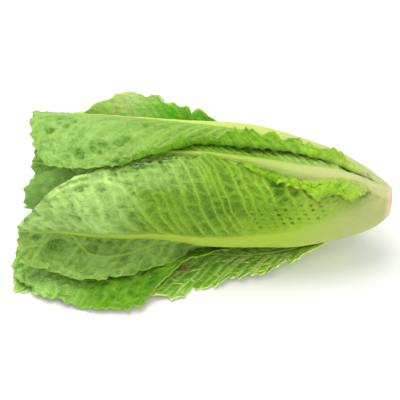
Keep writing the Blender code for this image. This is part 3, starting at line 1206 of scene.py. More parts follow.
@dataclass(frozen=True)
class LeafFinish:
    """Colours and gloss of a leaf.

    A reach is the stretch, in millimetres, over which something comes in or fades.
    A show is how strongly something shows, from 0 to 1.
    """

    bright: Colour = (0.24, 0.44, 0.045)
    # The deep greens are what painted shade in hollows and random patches darken the blade
    # towards.
    deep: Colour = (0.075, 0.20, 0.006)
    inner_bright: Colour = (0.15, 0.37, 0.012)
    inner_deep: Colour = (0.045, 0.16, 0.003)
    vein: Colour = (0.36, 0.57, 0.06)
    rib: Colour = (0.41, 0.56, 0.06)
    heel: Colour = (0.50, 0.56, 0.23)
    fresh: Colour = (0.28, 0.50, 0.012)
    # Pale colour over the leaf tips: partly the leaf's own waxy bloom, partly a painted highlight
    # where the blade faces the light; on the back leaf's inside it is a painted glow of light
    # shining through.
    sheen_bloom: Colour = (0.34, 0.56, 0.14)
    cut: Colour = (0.76, 0.59, 0.38)
    # Paler vein colour, used where the pale tip colour and its painted highlight lie.
    pale_vein: Colour = (0.60, 0.84, 0.30)
    stain: Colour = (0.36, 0.15, 0.03)
    # Painted shade: grey-green for the half below the midrib, which faces down away from the
    # light.
    low: Colour = (0.25, 0.40, 0.12)
    heel_reach: Pair = (10.0, 90.0)
    base_reach: Pair = (4.0, 34.0)
    cut_reach: Pair = (2.2, 6.0)
    fresh_reach: Pair = (70.0, 150.0)
    sheen_bloom_reach: Pair = (180.0, 260.0)
    rim_reach: Pair = (4.0, 20.0)
    edge_reach: Pair = (0.2, 1.6)
    # Strength of the pale tip colour with its painted highlight: overall, on the shaded half
    # below the midrib, on the outer face, and on the upper strip near the margin.
    sheen_bloom_show: float = 0.55
    sheen_bloom_low: float = 1.0
    sheen_bloom_outer: float = 1.0
    sheen_brow_show: float = 0.55
    fresh_show: float = 0.4
    rim_fresh_show: float = 0.75
    rim_heel_loss: float = 0.42
    # Strength of the painted shade on the half below the midrib.
    underside_shade_show: float = 0.0
    vein_show: float = 0.6
    cross_show: float = 0.3
    net_show: float = 0.22
    # Pale margin line: partly the thin paler margin, partly a painted highlight.
    edge_show: float = 0.5
    # Strength of the painted shade in hollows, dents and pits.
    hollow_shade_show: float = 0.45
    patch_show: float = 0.25
    mottle_show: float = 0.18
    outer_fade: float = 0.0
    inner_fade: float = 0.4
    roughness: float = 0.40
    gloss: float = 0.17
    glow: float = 0.6
    glow_depth: float = 0.0012

    def material(self, name: str) -> bpy.types.Material:
        """Node material that follows the leaf's veins, midrib and margins.

        Args:
            name: name of the material.

        Returns:
            The material.
        """
        bench = NodeBench(name)
        where = bench.flat_map()
        along, edge, rib, inside, upper = (
            bench.value(stored) for stored in ("along", "edge", "rib", "inside", "upper"))
        off_rib = 1.0 - rib
        rim = bench.fall(edge, *self.rim_reach)
        mottle = bench.ramp(bench.noise(where, 20.0), 0.3, 0.7)
        net = bench.fall(bench.net(where, 24.0), 0.0, 0.12) * off_rib

        # Painted shade: the blade darkens in the hollows between the veins, in dents, in hollow
        # swells and in pits, together with random patches and mottle of the leaf's own tone.
        patches = bench.ramp(bench.noise(where, 3.5, 4.0), 0.34, 0.66)
        hollow_shade_and_mottle = bench.value("cell") * self.hollow_shade_show + patches * self.patch_show
        hollow_shade_and_mottle = bench.maths("ADD", hollow_shade_and_mottle, mottle * self.mottle_show, clamp=True)
        outer = bench.mix(hollow_shade_and_mottle, self.bright, self.deep)
        inner = bench.mix(hollow_shade_and_mottle, self.inner_bright, self.inner_deep)
        blade = bench.mix(inside, outer, inner)

        # Pale tip colour, partly waxy bloom and partly painted highlight; it fades in the painted
        # hollow shade and mostly stays off the half below the midrib, which is painted as shade.
        lit = 1.0 - hollow_shade_and_mottle * 0.85
        sheen_bloom = bench.maths("MAXIMUM", bench.ramp(along, *self.sheen_bloom_reach),
                            bench.value("sheen_brow") * self.sheen_brow_show)
        sheen_bloom = sheen_bloom * self.sheen_bloom_show * (upper * (1.0 - self.sheen_bloom_low) + self.sheen_bloom_low)
        sheen_bloom = sheen_bloom * (inside * (1.0 - self.sheen_bloom_outer) + self.sheen_bloom_outer)
        blade = bench.mix(sheen_bloom * lit, blade, self.sheen_bloom)
        # Painted shade: a grey-green laid over the half below the midrib, which faces down away
        # from the light.
        blade = bench.mix((1.0 - upper) * lit * self.underside_shade_show, blade, self.low)
        young = bench.fall(along, *self.fresh_reach)
        reach = rim * (self.rim_fresh_show - self.fresh_show) + self.fresh_show
        blade = bench.mix(young * reach * (1.0 - hollow_shade_and_mottle), blade, self.fresh)

        # Veins turn paler where the pale tip colour, with its painted highlight, lies.
        vein = bench.mix(sheen_bloom, self.vein, self.pale_vein)
        blade = bench.mix(net * self.net_show, blade, vein)
        veins = bench.maths("MAXIMUM", bench.value("vein") * self.vein_show,
                            bench.value("cross") * self.cross_show)
        kept = inside * (self.outer_fade - self.inner_fade) + (1.0 - self.outer_fade)
        blade = bench.mix(veins * kept, blade, vein)
        # Pale line along the margins: partly the thin paler margin itself, partly a painted
        # highlight where the edge catches the light.
        blade = bench.mix(bench.fall(edge, *self.edge_reach) * self.edge_show, blade, self.vein)
        flecks = bench.value("stain") * bench.ramp(bench.noise(where, 60.0), 0.35, 0.55)
        blade = bench.mix(flecks, blade, self.stain)

        colour = bench.mix(rib, blade, self.rib)
        ribbed = bench.maths("SUBTRACT", rib * 0.5 + 0.5, rim * self.rim_heel_loss, clamp=True)
        colour = bench.mix(bench.fall(along, *self.heel_reach) * ribbed, colour, self.heel)
        colour = bench.mix(bench.fall(along, *self.base_reach), colour, self.heel)
        colour = bench.mix(bench.fall(along, *self.cut_reach), colour, self.cut)
        bench.dress(Base_Color=colour, Roughness=mottle * 0.15 + self.roughness,
                    Specular_IOR_Level=self.gloss, Subsurface_Weight=self.glow,
                    Subsurface_Scale=self.glow_depth)
        bench.shader.inputs["Subsurface Radius"].default_value = (0.6, 1.0, 0.25)
        fine = bench.noise(where, 70.0, 4.0) + net * 0.6
        coarse = bench.noise(where, 20.0, 2.0) * 2.6 * off_rib
        bench.bump(fine + coarse, 0.0009, 0.8)
        return bench.material


@dataclass(frozen=True)
class StemFinish:
    """Colours of the stem's skin and of its cut."""

    cut: Colour = (0.62, 0.50, 0.30)
    skin: Colour = (0.70, 0.66, 0.42)
    roughness: float = 0.55

    def material(self) -> bpy.types.Material:
        """Node material with stained patches over the cut.

        Returns:
            The material.
        """
        bench = NodeBench("stem")
        where = bench.add("ShaderNodeTexCoord", "Object", {})
        stain = bench.ramp(bench.noise(where, 160.0, 4.0), 0.35, 0.7)
        bench.dress(Base_Color=bench.mix(stain, self.cut, self.skin), Roughness=self.roughness)
        bench.bump(bench.noise(where, 420.0, 5.0), 0.0008, 0.6)
        return bench.material


@dataclass
class Stem:
    """The short stem core with its cut face."""

    axis: HeadAxis
    finish: StemFinish
    profile: Profile = (
        (0.0, 9.3), (0.9, 9.9), (2.5, 10.6), (5.0, 11.6), (9.0, 12.4), (14.0, 12.5),
        (30.0, 11.8), (50.0, 10.2), (75.0, 7.8), (100.0, 4.8), (116.0, 2.2),
    )
    tip: float = 119.0
    sides: int = 72
    dome_rings: int = 8

    def build(self) -> bpy.types.Object:
        """Turn the stem's profile round the axis.

        Returns:
            The finished piece, riding on the head.
        """
        n = self.dome_rings
        rings = [(CUT_DOME * ((k / n) ** 2 - 1), self.profile[0][1] * k / n) for k in range(1, n)]
        rings += list(self.profile)
        turn = np.arange(self.sides) * 2 * np.pi / self.sides
        verts = [(CUT_DOME, 0.0, 0.0)]
        for along, radius in rings:
            verts += [(-along, -radius * np.cos(a), radius * np.sin(a)) for a in turn]
        verts.append((-self.tip, 0.0, 0.0))
        faces: list[tuple[int, ...]] = []
        for k in range(self.sides):
            m = (k + 1) % self.sides
            faces.append((0, 1 + m, 1 + k))
            for ring in range(len(rings) - 1):
                a, b = 1 + ring * self.sides, 1 + (ring + 1) * self.sides
                faces.append((a + k, a + m, b + m, b + k))
            end = 1 + (len(rings) - 1) * self.sides
            faces.append((end + k, end + m, len(verts) - 1))
        mesh = bpy.data.meshes.new("stem")
        mesh.from_pydata(self.axis.metres(np.array(verts)).tolist(), [], faces)
        mesh.shade_smooth()
        mesh.materials.append(self.finish.material())
        stem = bpy.data.objects.new("stem_core", mesh)
        bpy.context.scene.collection.objects.link(stem)
        return settle(stem, "stem")


TOP = LeafForm(
    "leaf_top", (
        turned(0.4, (46, 63, 80, 97, 114), (13.2, 13.4, 13.5, 13.4, 13.2)),
        turned(2.4, (46, 63, 80, 97, 114), (14.7, 15, 15.1, 15, 14.7)),
        turned(6, (48, 64, 80, 98, 116), (15.4, 15.7, 15.8, 15.7, 15.4)),
        turned(21, (60, 70, 79, 98, 116), (23, 24.2, 24.4, 24.2, 23.5)),
        turned(35, (58.5, 68, 78, 97, 115), (29, 30.8, 31.1, 30.8, 29)),
        turned(80, (51, 63, 76, 100, 121), (43.5, 45, 45.4, 44.8, 42)),
        turned(124, (47, 60.5, 75, 101, 125), (47.8, 50.8, 52, 51.9, 48)),
        turned(155, (46.5, 59, 75.5, 103, 129), (49.2, 52, 52, 52, 49)),
        turned(172, (38, 56, 76.5, 105, 131), (52, 53, 52, 52, 49.5)),
        turned(184, (30.5, 52.5, 77, 106, 133), (53.2, 53.4, 52, 52, 50)),
        turned(206, (20, 48, 77, 106, 133), (53.7, 54, 51.7, 52, 50)),
        turned(243, (8, 40, 76, 107, 131), (54, 55, 51, 52, 50)),
        turned(297, (6, 38, 66, 90, 110), (50, 52, 50, 50, 48)),
    ), seed=100, sweep=20.0, rows=270, columns=124, crumple=1.0, blister=1.4, pucker=1.3,
    crinkle=1.0,
    pucker_from=(150, 230), vein_width=0.75, calm_from=(225, 250),
    veins=VeinPattern(101, spacing=8.5, lean=0.7),
    rib_width=(
        (0, 13), (30, 13), (60, 13), (80, 12.5), (113, 11.5), (135, 9), (155, 5.5),
        (195, 2.4), (235, 1.4), (300, 1)), rib_fade=(230, 262),
    teeth=Teeth(102, pitch=8.0, least=0.6, most=6.5),
    swells=(
        Swell(280, -28, -2.4, 5, 3.5), Swell(266, -24, -2.0, 3.5, 3.5),
        Swell(260, -18, -2.0, 3.5, 3.5), Swell(258, -54, -3.0, 5, 4.5),
        Swell(245, -50, -2.0, 2.5, 2.5), Swell(236, -47, -2.2, 4.5, 3),
        Swell(239, -54, -1.8, 3, 2), Swell(223, -44, -2.2, 5, 3), Swell(216, -39, -2.2, 5, 3),
        Swell(272, -12, -1.8, 2.2, 3), Swell(278, -14, -1.4, 1.6, 2.5),
        Swell(267, -11, -1.5, 1.6, 3), Swell(226, -61, -1.8, 9, 2), Swell(201, -19, -1.5, 3, 6),
        Swell(185, -16, -1.3, 2.5, 6), Swell(260, -36, -1.2, 2.5, 2),
        Swell(272, -40, 1.6, 12, 8)),
    rolls=(RolledMargin(Side.LOW, Turn.OUTWARD, (
        (10, 0.3), (18, 0.5), (26, 5), (36, 8.5), (48, 10), (62, 11.5), (72, 13), (80, 16),
        (91, 15), (100, 19), (118, 20), (129, 18), (135, 11), (142, 6), (158, 4.5), (174, 6),
        (190, 8), (205, 8), (215, 5), (224, 3), (232, 1.5), (245, 0.5), (297, 0.5)),
        turn=178.0, radius=1.6, columns=22),),
    frills=(Frill(Side.LOW, 85, 60, 1.0, 14.0, 5.0, 1.2),))

MIDDLE = LeafForm(
    "leaf_middle", (
        turned(0.4, (3, 15, 27, 39, 52), (13, 13.1, 13.2, 13.1, 13)),
        turned(2.4, (2, 14, 27, 41, 56), (14.3, 14.5, 14.6, 14.5, 14.3)),
        turned(9, (0, 13, 27, 43, 61), (15.2, 16.2, 16.6, 16.2, 15.4)),
        turned(30, (-6, 12, 28, 46, 64), (22, 26, 27.5, 26, 24)),
        turned(65, (-17, 4, 25.5, 51, 75), (33, 37, 38.5, 37.5, 34)),
        turned(113, (-28, 2, 31, 59, 86), (39, 42, 44, 41.5, 38)),
        turned(160, (-35, -2, 32, 62, 90), (43.5, 45, 46, 43.5, 42)),
        turned(210, (-35, -4, 28, 60, 86), (45, 47, 47, 45, 43)),
        turned(262, (-10, 8, 28, 50, 70), (43, 45, 46, 44, 43)),
    ), seed=200, sweep=20.0, blister=2.4, rib=1.15, pucker=0.6,
    rib_width=(
        (0, 12), (30, 8.8), (39, 7.8), (72, 5.8), (105, 4.4), (130, 2.8), (160, 2), (262, 1)),
    frills=(Frill(Side.HIGH, 70, 50, 2.6), Frill(Side.LOW, 100, 40, 2.5)),
    veins=VeinPattern(201, spacing=7.5, lean=0.8), teeth=Teeth(202, most=3.5))

FRONT = LeafForm(
    "leaf_front", (
        turned(0.4, (-68, -52, -36, -19, -1), (13.2, 13.4, 13.5, 13.4, 13.2)),
        turned(2.4, (-72, -54, -36, -18, 1), (15, 15.3, 15.3, 15, 14.7)),
        turned(6, (-76, -57, -38, -17, 4), (17, 17.4, 17.1, 16.5, 15.8)),
        turned(12, (-80, -61, -41, -16, 9), (21.4, 22, 21.6, 20.5, 19.6)),
        turned(30, (-90, -70, -47, -14, 19), (29.8, 31, 30.4, 30, 29.2)),
        turned(65, (-98, -76, -54, -23, 9), (39, 42.5, 42.5, 42, 43)),
        turned(113, (-112, -87, -59.5, -19, 20), (42, 46.5, 49, 49.5, 48.5)),
        turned(145, (-97, -80, -59, -15, 26.5), (50, 50, 52, 53, 51)),
        turned(184, (-78, -76, -56.5, -15.5, 19.5), (70, 55, 52.5, 54, 50)),
        turned(213, (-72, -76, -58, -22, 10), (82, 60, 54, 55.5, 50.5)),
        turned(243, (-68, -75, -59, -28, -1), (89, 65, 55, 57, 51)),
        turned(266, (-66, -71, -58, -36, -12), (86, 67, 57, 58, 55)),
        turned(285, (-65, -65, -57, -45, -32), (84, 69, 59, 58, 57)),
        turned(296, (-65, -63, -57, -51, -45), (83, 71, 60, 58, 57)),
    ), seed=300, sweep=4.0, floor=10.0, rows=270, columns=132, blister=2.1, rib=1.35,
    rib_width=(
        (0, 17.5), (15, 17), (30, 15.5), (60, 12.5), (78, 11.5), (113, 10.2), (155, 7),
        (195, 3.6), (235, 2.2), (256, 1.7), (270, 0.8), (300, 0.5)), rib_fade=(250, 280),
    pits=(PitRows(305, (46, 120), (14, 38)),), sheen_brow=(40, 54, 140, 185),
    pucker=2.7, pucker_from=(135, 210), crumple=1.0, crinkle=1.0, vein_width=0.9,
    calm_from=(30, 60),
    veins=VeinPattern(301, spacing=9.0, lean=0.36, uneven=0.34, wander=2.3, fork_from=26.0),
    teeth=Teeth(302, pitch=6.0, least=0.5, most=3.4),
    swells=(
        Swell(222, 26, 3.5, 24, 24), Swell(120, 34, -1.0, 50, 16),
        Swell(266, -14, -1.8, 10, 6), Swell(283, -5, -1.5, 6, 2.5),
        Swell(239, -9, -1.4, 4, 2), Swell(230, -12, -1.5, 4, 2), Swell(223, -15, -1.3, 3.5, 1.8),
        Swell(243, -15, -1.4, 3, 1.8), Swell(235, -18, -1.4, 3, 1.6),
        Swell(214, -14, -1.0, 5, 1.6), Swell(204, -11, -0.9, 5, 1.5)),
    frills=(Frill(Side.HIGH, 60, 50, 2.8, 18.0, 4.6, 1.1),),
    ridges=(
        Ridge(((272, 36), (262, 44), (244, 51), (228, 52), (215, 49), (204, 40), (195, 27),
               (186, 13), (181, 6)), 1.4, 2.0),
        Ridge(((253, -3), (247, -14), (241, -21), (231, -23.5), (222, -24), (211, -22.5),
               (200, -20), (189, -16), (179, -12), (170, -8)), 0.9, 1.2),
        Ridge(((275, 37.5), (266, 45.5), (255, 53), (243, 58), (228, 64.7), (213, 68.2),
               (200, 72.2), (184, 75.8), (170, 76.8), (160, 79.8), (150, 81.8), (140, 79.8)),
              0.8, 1.3)),
    rolls=(
        RolledMargin(Side.HIGH, Turn.OUTWARD, (
            (14, 0.3), (19, 2), (26, 12), (34, 20), (46, 24), (58, 20), (70, 13), (84, 9),
            (100, 6), (116, 5), (126, 0.5), (304, 0.3)), turn=165.0, radius=2.2, columns=18),
        RolledMargin(Side.HIGH, Turn.INWARD, (
            (6, 0.3), (128, 0.5), (146, 5), (235, 5), (262, 1), (292, 0.5)), turn=60.0,
            radius=3.0, columns=6)))

LOWER = LeafForm(
    "leaf_lower", (
        turned(1, (-148, -140, -132, -124, -116), (13.6, 13.8, 13.9, 13.8, 13.6)),
        turned(14, (-150, -141, -132, -123, -113), (17.2, 17.6, 17.8, 17.6, 17.2)),
        turned(60, (-152, -141, -129, -116, -104), (37.5, 39.5, 41, 40.5, 39.5)),
        turned(118, (-150, -138, -126, -114, -102), (46.5, 46, 46.5, 46.5, 46)),
        turned(138, (-147, -130, -112, -98, -85), (46.5, 46.5, 48, 50.5, 52)),
        turned(149, (-147, -128, -108, -92, -80), (46.5, 46.5, 49, 54, 61)),
        turned(158, (-146, -126, -105, -88, -78), (46.5, 46.5, 50, 57, 65)),
        turned(171, (-146, -124, -103, -85, -76), (46.5, 46.5, 52, 63, 76)),
        turned(180, (-146, -123, -101.5, -83, -74), (46.5, 46.5, 53, 69, 87)),
        turned(190, (-146, -122, -100.5, -82, -72.5), (46.5, 46.5, 54, 77, 103.5)),
        turned(200, (-145, -121, -99.5, -81, -71.6), (46.5, 46.6, 54.5, 80, 109.5)),
        turned(222, (-144, -120, -98, -80, -71.2), (46.5, 46.7, 55, 82.5, 113.2)),
        turned(242, (-142, -118, -95, -79, -71.2), (47, 47.5, 57, 85, 113.3)),
        turned(266, (-131, -111, -90, -77.5, -71.4), (47.5, 51, 64, 88, 108.5)),
        turned(285, (-123, -104, -87, -77, -71.8), (49, 54, 69, 88.5, 105)),
        turned(303, (-116, -99, -84, -77, -73), (51, 59, 74, 86, 95)),
    ), seed=400, sweep=12.0, floor=3.0, rows=250, columns=116, ruffle=2.6, blister=2.4,
    pucker=2.2, pucker_from=(120, 200), vein_width=1.1, crumple=0.8,
    veins=VeinPattern(401, spacing=10.0, ladder=8.0),
    teeth=Teeth(402, pitch=6.5, least=0.8, most=4.6))

TABLE = LeafForm(
    "leaf_table", (
        turned(1, (-112, -101, -91, -81, -70), (13.2, 13.5, 13.6, 13.5, 13.2)),
        turned(6, (-114, -102, -91, -80, -68), (14.6, 15, 15.2, 15, 14.6)),
        turned(30, (-118, -108, -98, -89, -80), (27, 28, 28.5, 28.5, 28)),
        turned(50, (-130, -115, -101, -89, -79), (39, 38, 37, 37, 39.5)),
        spread(80, (3, 3.2), (-12, 5.5), (-24, 9), (-34, 12), (-42.5, 13)),
        spread(100, (7, 0.4), (-11, 2), (-27, 5), (-40, 7.5), (-50.5, 8.5)),
        spread(115, (8, 0), (-11, 1), (-29, 3.2), (-43, 5), (-54.5, 6)),
        spread(130, (9, -0.5), (-11, -0.3), (-30, 1.8), (-46, 3.6), (-60, 4.2)),
        spread(140, (9, -0.5), (-11, -0.4), (-30, 1.2), (-49, 3), (-66, 3.5)),
        spread(150, (9, -0.5), (-12, -0.5), (-31, 0.4), (-50, 1.8), (-67, 3.2)),
        spread(156, (9, -0.5), (-12, -0.5), (-32, 0.4), (-53, 1.6), (-69, 3)),
        spread(160, (9, -0.5), (-13, -0.5), (-33, 0.2), (-56, 1.4), (-79, 2.4)),
        spread(167, (9, -0.5), (-13, -0.5), (-33, 0.2), (-57.5, 1.4), (-81, 2.2)),
        spread(178, (9, -0.5), (-13, -0.5), (-34, 0.4), (-58.5, 2.3), (-82.5, 4)),
        spread(190, (9, -0.5), (-13, -0.5), (-34, 0.6), (-59, 3.2), (-84, 5.5)),
        spread(205, (8, -0.5), (-14, -0.5), (-36, 0.2), (-60, 1.6), (-83, 2.4)),
        spread(245, (5, -0.5), (-16, -0.5), (-38, -0.2), (-61, 0.4), (-83, 0.8)),
        spread(275, (-4, -0.5), (-24, -0.5), (-45, -0.2), (-65, 0.2), (-85, 0.6)),
        spread(301, (-22, -0.3), (-40, -0.3), (-58, -0.2), (-74, 0), (-90, 0.4)),
    ), seed=500, sweep=5.0, rib=0.4, rib_width=FAINT_RIB, rows=270, columns=100, ruffle=2.4,
    vein_width=0.8, pucker=0.8,
    veins=VeinPattern(501, spacing=7.0, ladder=6.0, uneven=0.36, wander=3.0),
    stains=(Swell(166, 15, 1.4, 3.6, 3), Swell(161.5, 13, 1.2, 3, 2.2)),
    teeth=Teeth(503, 8.0, 3.0, 7.5, 0.7))

BACK = LeafForm(
    "leaf_back", (
        turned(1, (120, 131, 142, 153, 166), (13.4, 13.7, 13.8, 13.8, 13.6)),
        turned(12, (113, 127.5, 142, 156.5, 171), (15.6, 16.6, 17.2, 17, 16.4)),
        turned(60, (120, 130, 142, 159, 176), (43, 43.5, 43.5, 43.5, 43)),
        turned(115, (114, 125, 141, 162, 184), (53, 55, 57, 57.5, 57)),
        turned(143, (105, 121, 140, 165, 190), (54, 57, 58, 58.5, 58.5)),
        turned(152, (102, 120, 140, 165, 190), (57.5, 58, 58, 58.5, 58.5)),
        turned(160, (100, 119, 140, 165, 190), (61.5, 59.5, 58.5, 58.7, 58.7)),
        turned(168, (98, 118, 140, 165, 190), (60.5, 60, 59, 59, 59)),
        turned(170.5, (97.5, 118, 140, 165, 190), (55.5, 58.5, 59, 59, 59)),
        turned(173, (97, 118, 140, 165, 190), (60.5, 60.2, 59.1, 59, 59.1)),
        turned(178, (96, 117, 140, 165, 190), (63.5, 60.8, 59.3, 59, 59.3)),
        turned(190, (95, 116, 140, 165, 190), (67, 62.2, 59.5, 59, 59.5)),
        turned(201, (94, 115, 140, 164, 189), (73.5, 64, 59.8, 59.6, 60)),
        turned(210, (94, 115, 140, 163, 188), (71, 63.5, 60, 60, 60.5)),
        turned(222, (94, 114, 139, 161, 184), (71.5, 63.5, 60, 60.2, 60.7)),
        turned(236, (94, 113, 138, 159, 180), (69.5, 62.8, 60, 60.3, 61)),
        turned(250, (95, 113, 136, 155, 172), (61.5, 60.5, 60, 60.4, 61)),
        turned(262, (97, 113, 133, 149, 164), (54.5, 58, 60, 60.3, 60.5)),
        turned(275, (100, 114, 130, 144, 158), (48, 56, 60, 60, 60)),
    ), seed=600, sweep=10.0, rows=200, columns=96, pucker=0.5, pucker_from=(100, 160),
    notches=(Notch(Side.LOW, 170.5, 9.0, 2.4),), vein_width=1.25, crinkle=0.8,
    veins=VeinPattern(601, spacing=8.5, ladder=7.5),
    teeth=Teeth(602, pitch=8.0, least=0.8, most=5.5))

UNDER = LeafForm(
    "leaf_under", (
        turned(1, (-191, -181, -171.5, -162, -151), (13.2, 13.5, 13.6, 13.5, 13.2)),
        turned(14, (-194, -183, -171.5, -160, -148), (15.6, 16.2, 16.4, 16.2, 15.6)),
        turned(60, (-202, -184, -166, -151, -138), (38.5, 39.5, 41.8, 42.6, 42.2)),
        spread(120, (47, 39), (41, 19), (25, 1.6), (8, 2.7), (-7, 3.0)),
        spread(180, (49, 39), (43, 18.5), (26, -0.5), (9, 2.4), (-7, 2.9)),
        spread(240, (49, 42), (44, 19), (28, -0.5), (11, 2.2), (-4, 2.6)),
        spread(275, (48, 45), (44.5, 21), (30, 0), (14, 0.3), (2, 0.6)),
        spread(304, (45, 44), (43, 21), (34, 7), (21, 3), (7, 3)),
    ), seed=700, sweep=6.0, rows=120, columns=64, ruffle=1.6, blister=1.4,
    veins=VeinPattern(701), teeth=Teeth(702))


LARGE_LEAVES = {
    TOP: LeafFinish(
        bright=(0.30, 0.51, 0.10), deep=(0.10, 0.26, 0.015),
        inner_bright=(0.16, 0.39, 0.004), inner_deep=(0.045, 0.19, 0.002),
        rib=(0.53, 0.64, 0.14), heel_reach=(10.0, 130.0), fresh=(0.37, 0.61, 0.02),
        vein_show=0.4, hollow_shade_show=0.6, inner_fade=0.5, sheen_bloom_show=0.2, sheen_bloom_outer=2.75),
    MIDDLE: LeafFinish(
        bright=(0.21, 0.45, 0.025), deep=(0.05, 0.20, 0.004),
        rib=(0.39, 0.51, 0.08), heel=(0.55, 0.58, 0.27), heel_reach=(10.0, 130.0)),
    # Front leaf: the pale tip colour with its painted highlight is mostly kept off the half below
    # the midrib, which is painted as shade.
    FRONT: LeafFinish(
        bright=(0.23, 0.42, 0.024), deep=(0.055, 0.175, 0.004),
        inner_bright=(0.21, 0.44, 0.004), inner_deep=(0.09, 0.28, 0.002),
        rib=(0.38, 0.53, 0.05), heel=(0.45, 0.50, 0.19), fresh=(0.39, 0.62, 0.012),
        low=(0.28, 0.43, 0.135), sheen_bloom=(0.52, 0.77, 0.25), sheen_bloom_reach=(185.0, 230.0),
        hollow_shade_show=0.6, vein_show=0.52, cross_show=0.46, net_show=0.27, inner_fade=0.3,
        sheen_bloom_show=0.85, sheen_bloom_low=0.15, underside_shade_show=0.72, fresh_show=0.75),
    # Lower leaf: the pale tip colour on its far end is partly a painted highlight where it lies
    # in the light.
    LOWER: LeafFinish(
        inner_bright=(0.175, 0.43, 0.01), inner_deep=(0.03, 0.14, 0.003),
        sheen_bloom=(0.38, 0.63, 0.15), sheen_bloom_reach=(225.0, 280.0), sheen_bloom_show=1.0,
        hollow_shade_show=0.8, vein_show=0.5, cross_show=0.5, net_show=0.2, inner_fade=0.0),
    TABLE: LeafFinish(
        inner_bright=(0.20, 0.50, 0.005), inner_deep=(0.06, 0.25, 0.002),
        rib=(0.50, 0.78, 0.08), heel=(0.42, 0.64, 0.10), heel_reach=(5.0, 50.0),
        fresh=(0.46, 0.78, 0.03), vein=(0.90, 0.99, 0.36), sheen_bloom_show=0.2,
        vein_show=1.0, cross_show=0.9, net_show=0.1, inner_fade=0.0, glow=0.8),
    # Back leaf: its inside face is painted bright and takes the pale tip colour at full strength,
    # a painted glow of light shining through it from behind.
    BACK: LeafFinish(
        bright=(0.34, 0.56, 0.10), deep=(0.18, 0.38, 0.03),
        inner_bright=(0.34, 0.66, 0.06), inner_deep=(0.13, 0.38, 0.01),
        vein=(0.74, 0.90, 0.40), pale_vein=(0.84, 0.97, 0.62),
        sheen_bloom=(0.82, 1.0, 0.58), sheen_bloom_reach=(185.0, 225.0), sheen_bloom_show=1.0, sheen_bloom_outer=0.2,
        hollow_shade_show=0.2, vein_show=1.0, cross_show=1.0, net_show=0.3,
        inner_fade=0.0, outer_fade=0.55, glow=1.0, glow_depth=0.003),
    UNDER: LeafFinish(),
}


@dataclass
class InnerLeaves:
    """The leaves inside the head, placed one after another round the stem.

    A pair is the outermost leaf's value and the innermost leaf's.
    """

    axis: HeadAxis
    count: int = 14
    turn: float = 137.5
    first_angle: float = 73.0
    start: Pair = (22.0, 84.0)
    tip: Pair = (301.5, 158.0)
    shell: Pair = (1.0, 0.12)
    rise: float = 34.0
    clearance: float = 0.6
    thickness: float = 0.8
    core: Profile = Stem.profile
    core_end: float = Stem.tip
    half_angles: Profile = (
        (0.0, 26.0), (0.1, 40.0), (0.22, 56.0), (0.38, 70.0), (0.55, 78.0), (0.74, 80.0),
        (0.9, 68.0), (1.0, 46.0),
    )
    limit: Profile = (
        (20.0, 14.6), (35.0, 19.5), (65.0, 30.5), (113.0, 36.5), (160.0, 39.5),
        (210.0, 40.5), (262.0, 38.0), (295.0, 33.0),
    )
    bright: tuple[Colour, Colour] = ((0.20, 0.47, 0.07), (0.62, 0.66, 0.22))
    deep: tuple[Colour, Colour] = ((0.06, 0.25, 0.02), (0.50, 0.58, 0.14))
    inner_bright: tuple[Colour, Colour] = ((0.20, 0.48, 0.06), (0.60, 0.66, 0.20))
    inner_deep: tuple[Colour, Colour] = ((0.06, 0.26, 0.02), (0.48, 0.58, 0.12))

    def form(self, index: int) -> LeafForm:
        """Shape of one inner leaf.

        Args:
            index: its place; 0 is the outermost.

        Returns:
            The leaf's form, clear of the stem and inside the large leaves.
        """
        share = index / (self.count - 1)
        start = self.start[0] + share * (self.start[1] - self.start[0])
        tip = self.tip[0] + share ** 1.3 * (self.tip[1] - self.tip[0])
        shell = self.shell[0] + share * (self.shell[1] - self.shell[0])
        middle = self.first_angle + self.turn * (index + 1)
        stations = []
        for u, half in self.half_angles:
            along = start + u * (tip - start)
            core = read_profile(self.core, along) if along < self.core_end else 0.0
            clear = core + self.clearance
            most = max(read_profile(self.limit, along), clear)
            rise = min(max((along - start) / self.rise, 0.0), 1.0)
            out = clear + shell * rise * (most - clear) + self.thickness
            stations.append(Station(along, tuple(middle + half * s for s in ACROSS), (out,) * 5))
        seed = 800 + 10 * index
        return LeafForm(
            f"leaf_inner_{index + 1:02d}", tuple(stations), seed=seed, sweep=7.0, rows=60,
            columns=38, ruffle=1.2, pucker=0.8, ruffle_start=(60.0, 140.0), blister=0.9,
            billow=0.4, rib=0.5, rib_width=SLIM_RIB,
            teeth=Teeth(seed + 2, pitch=8.0, least=0.8, most=4.5),
            veins=VeinPattern(seed + 1, spacing=9.0))

    def finish(self, index: int) -> LeafFinish:
        """Finish of one inner leaf, paler towards the heart.

        Args:
            index: its place; 0 is the outermost.

        Returns:
            The leaf's finish.
        """
        share = index / (self.count - 1)
        shades = {name: fade(*pair, share) for name, pair in (
            ("bright", self.bright), ("deep", self.deep),
            ("inner_bright", self.inner_bright), ("inner_deep", self.inner_deep))}
        return LeafFinish(**shades, sheen_bloom_show=0.45)

    def build(self) -> list[bpy.types.Object]:
        """Build every inner leaf, outermost first."""
        return [Leaf(self.form(index), self.axis, self.finish(index)).build()
                for index in range(self.count)]


def fade(a: Colour, b: Colour, share: float) -> Colour:
    """Colour between two colours."""
    return tuple((1 - share) * x + share * y for x, y in zip(a, b))


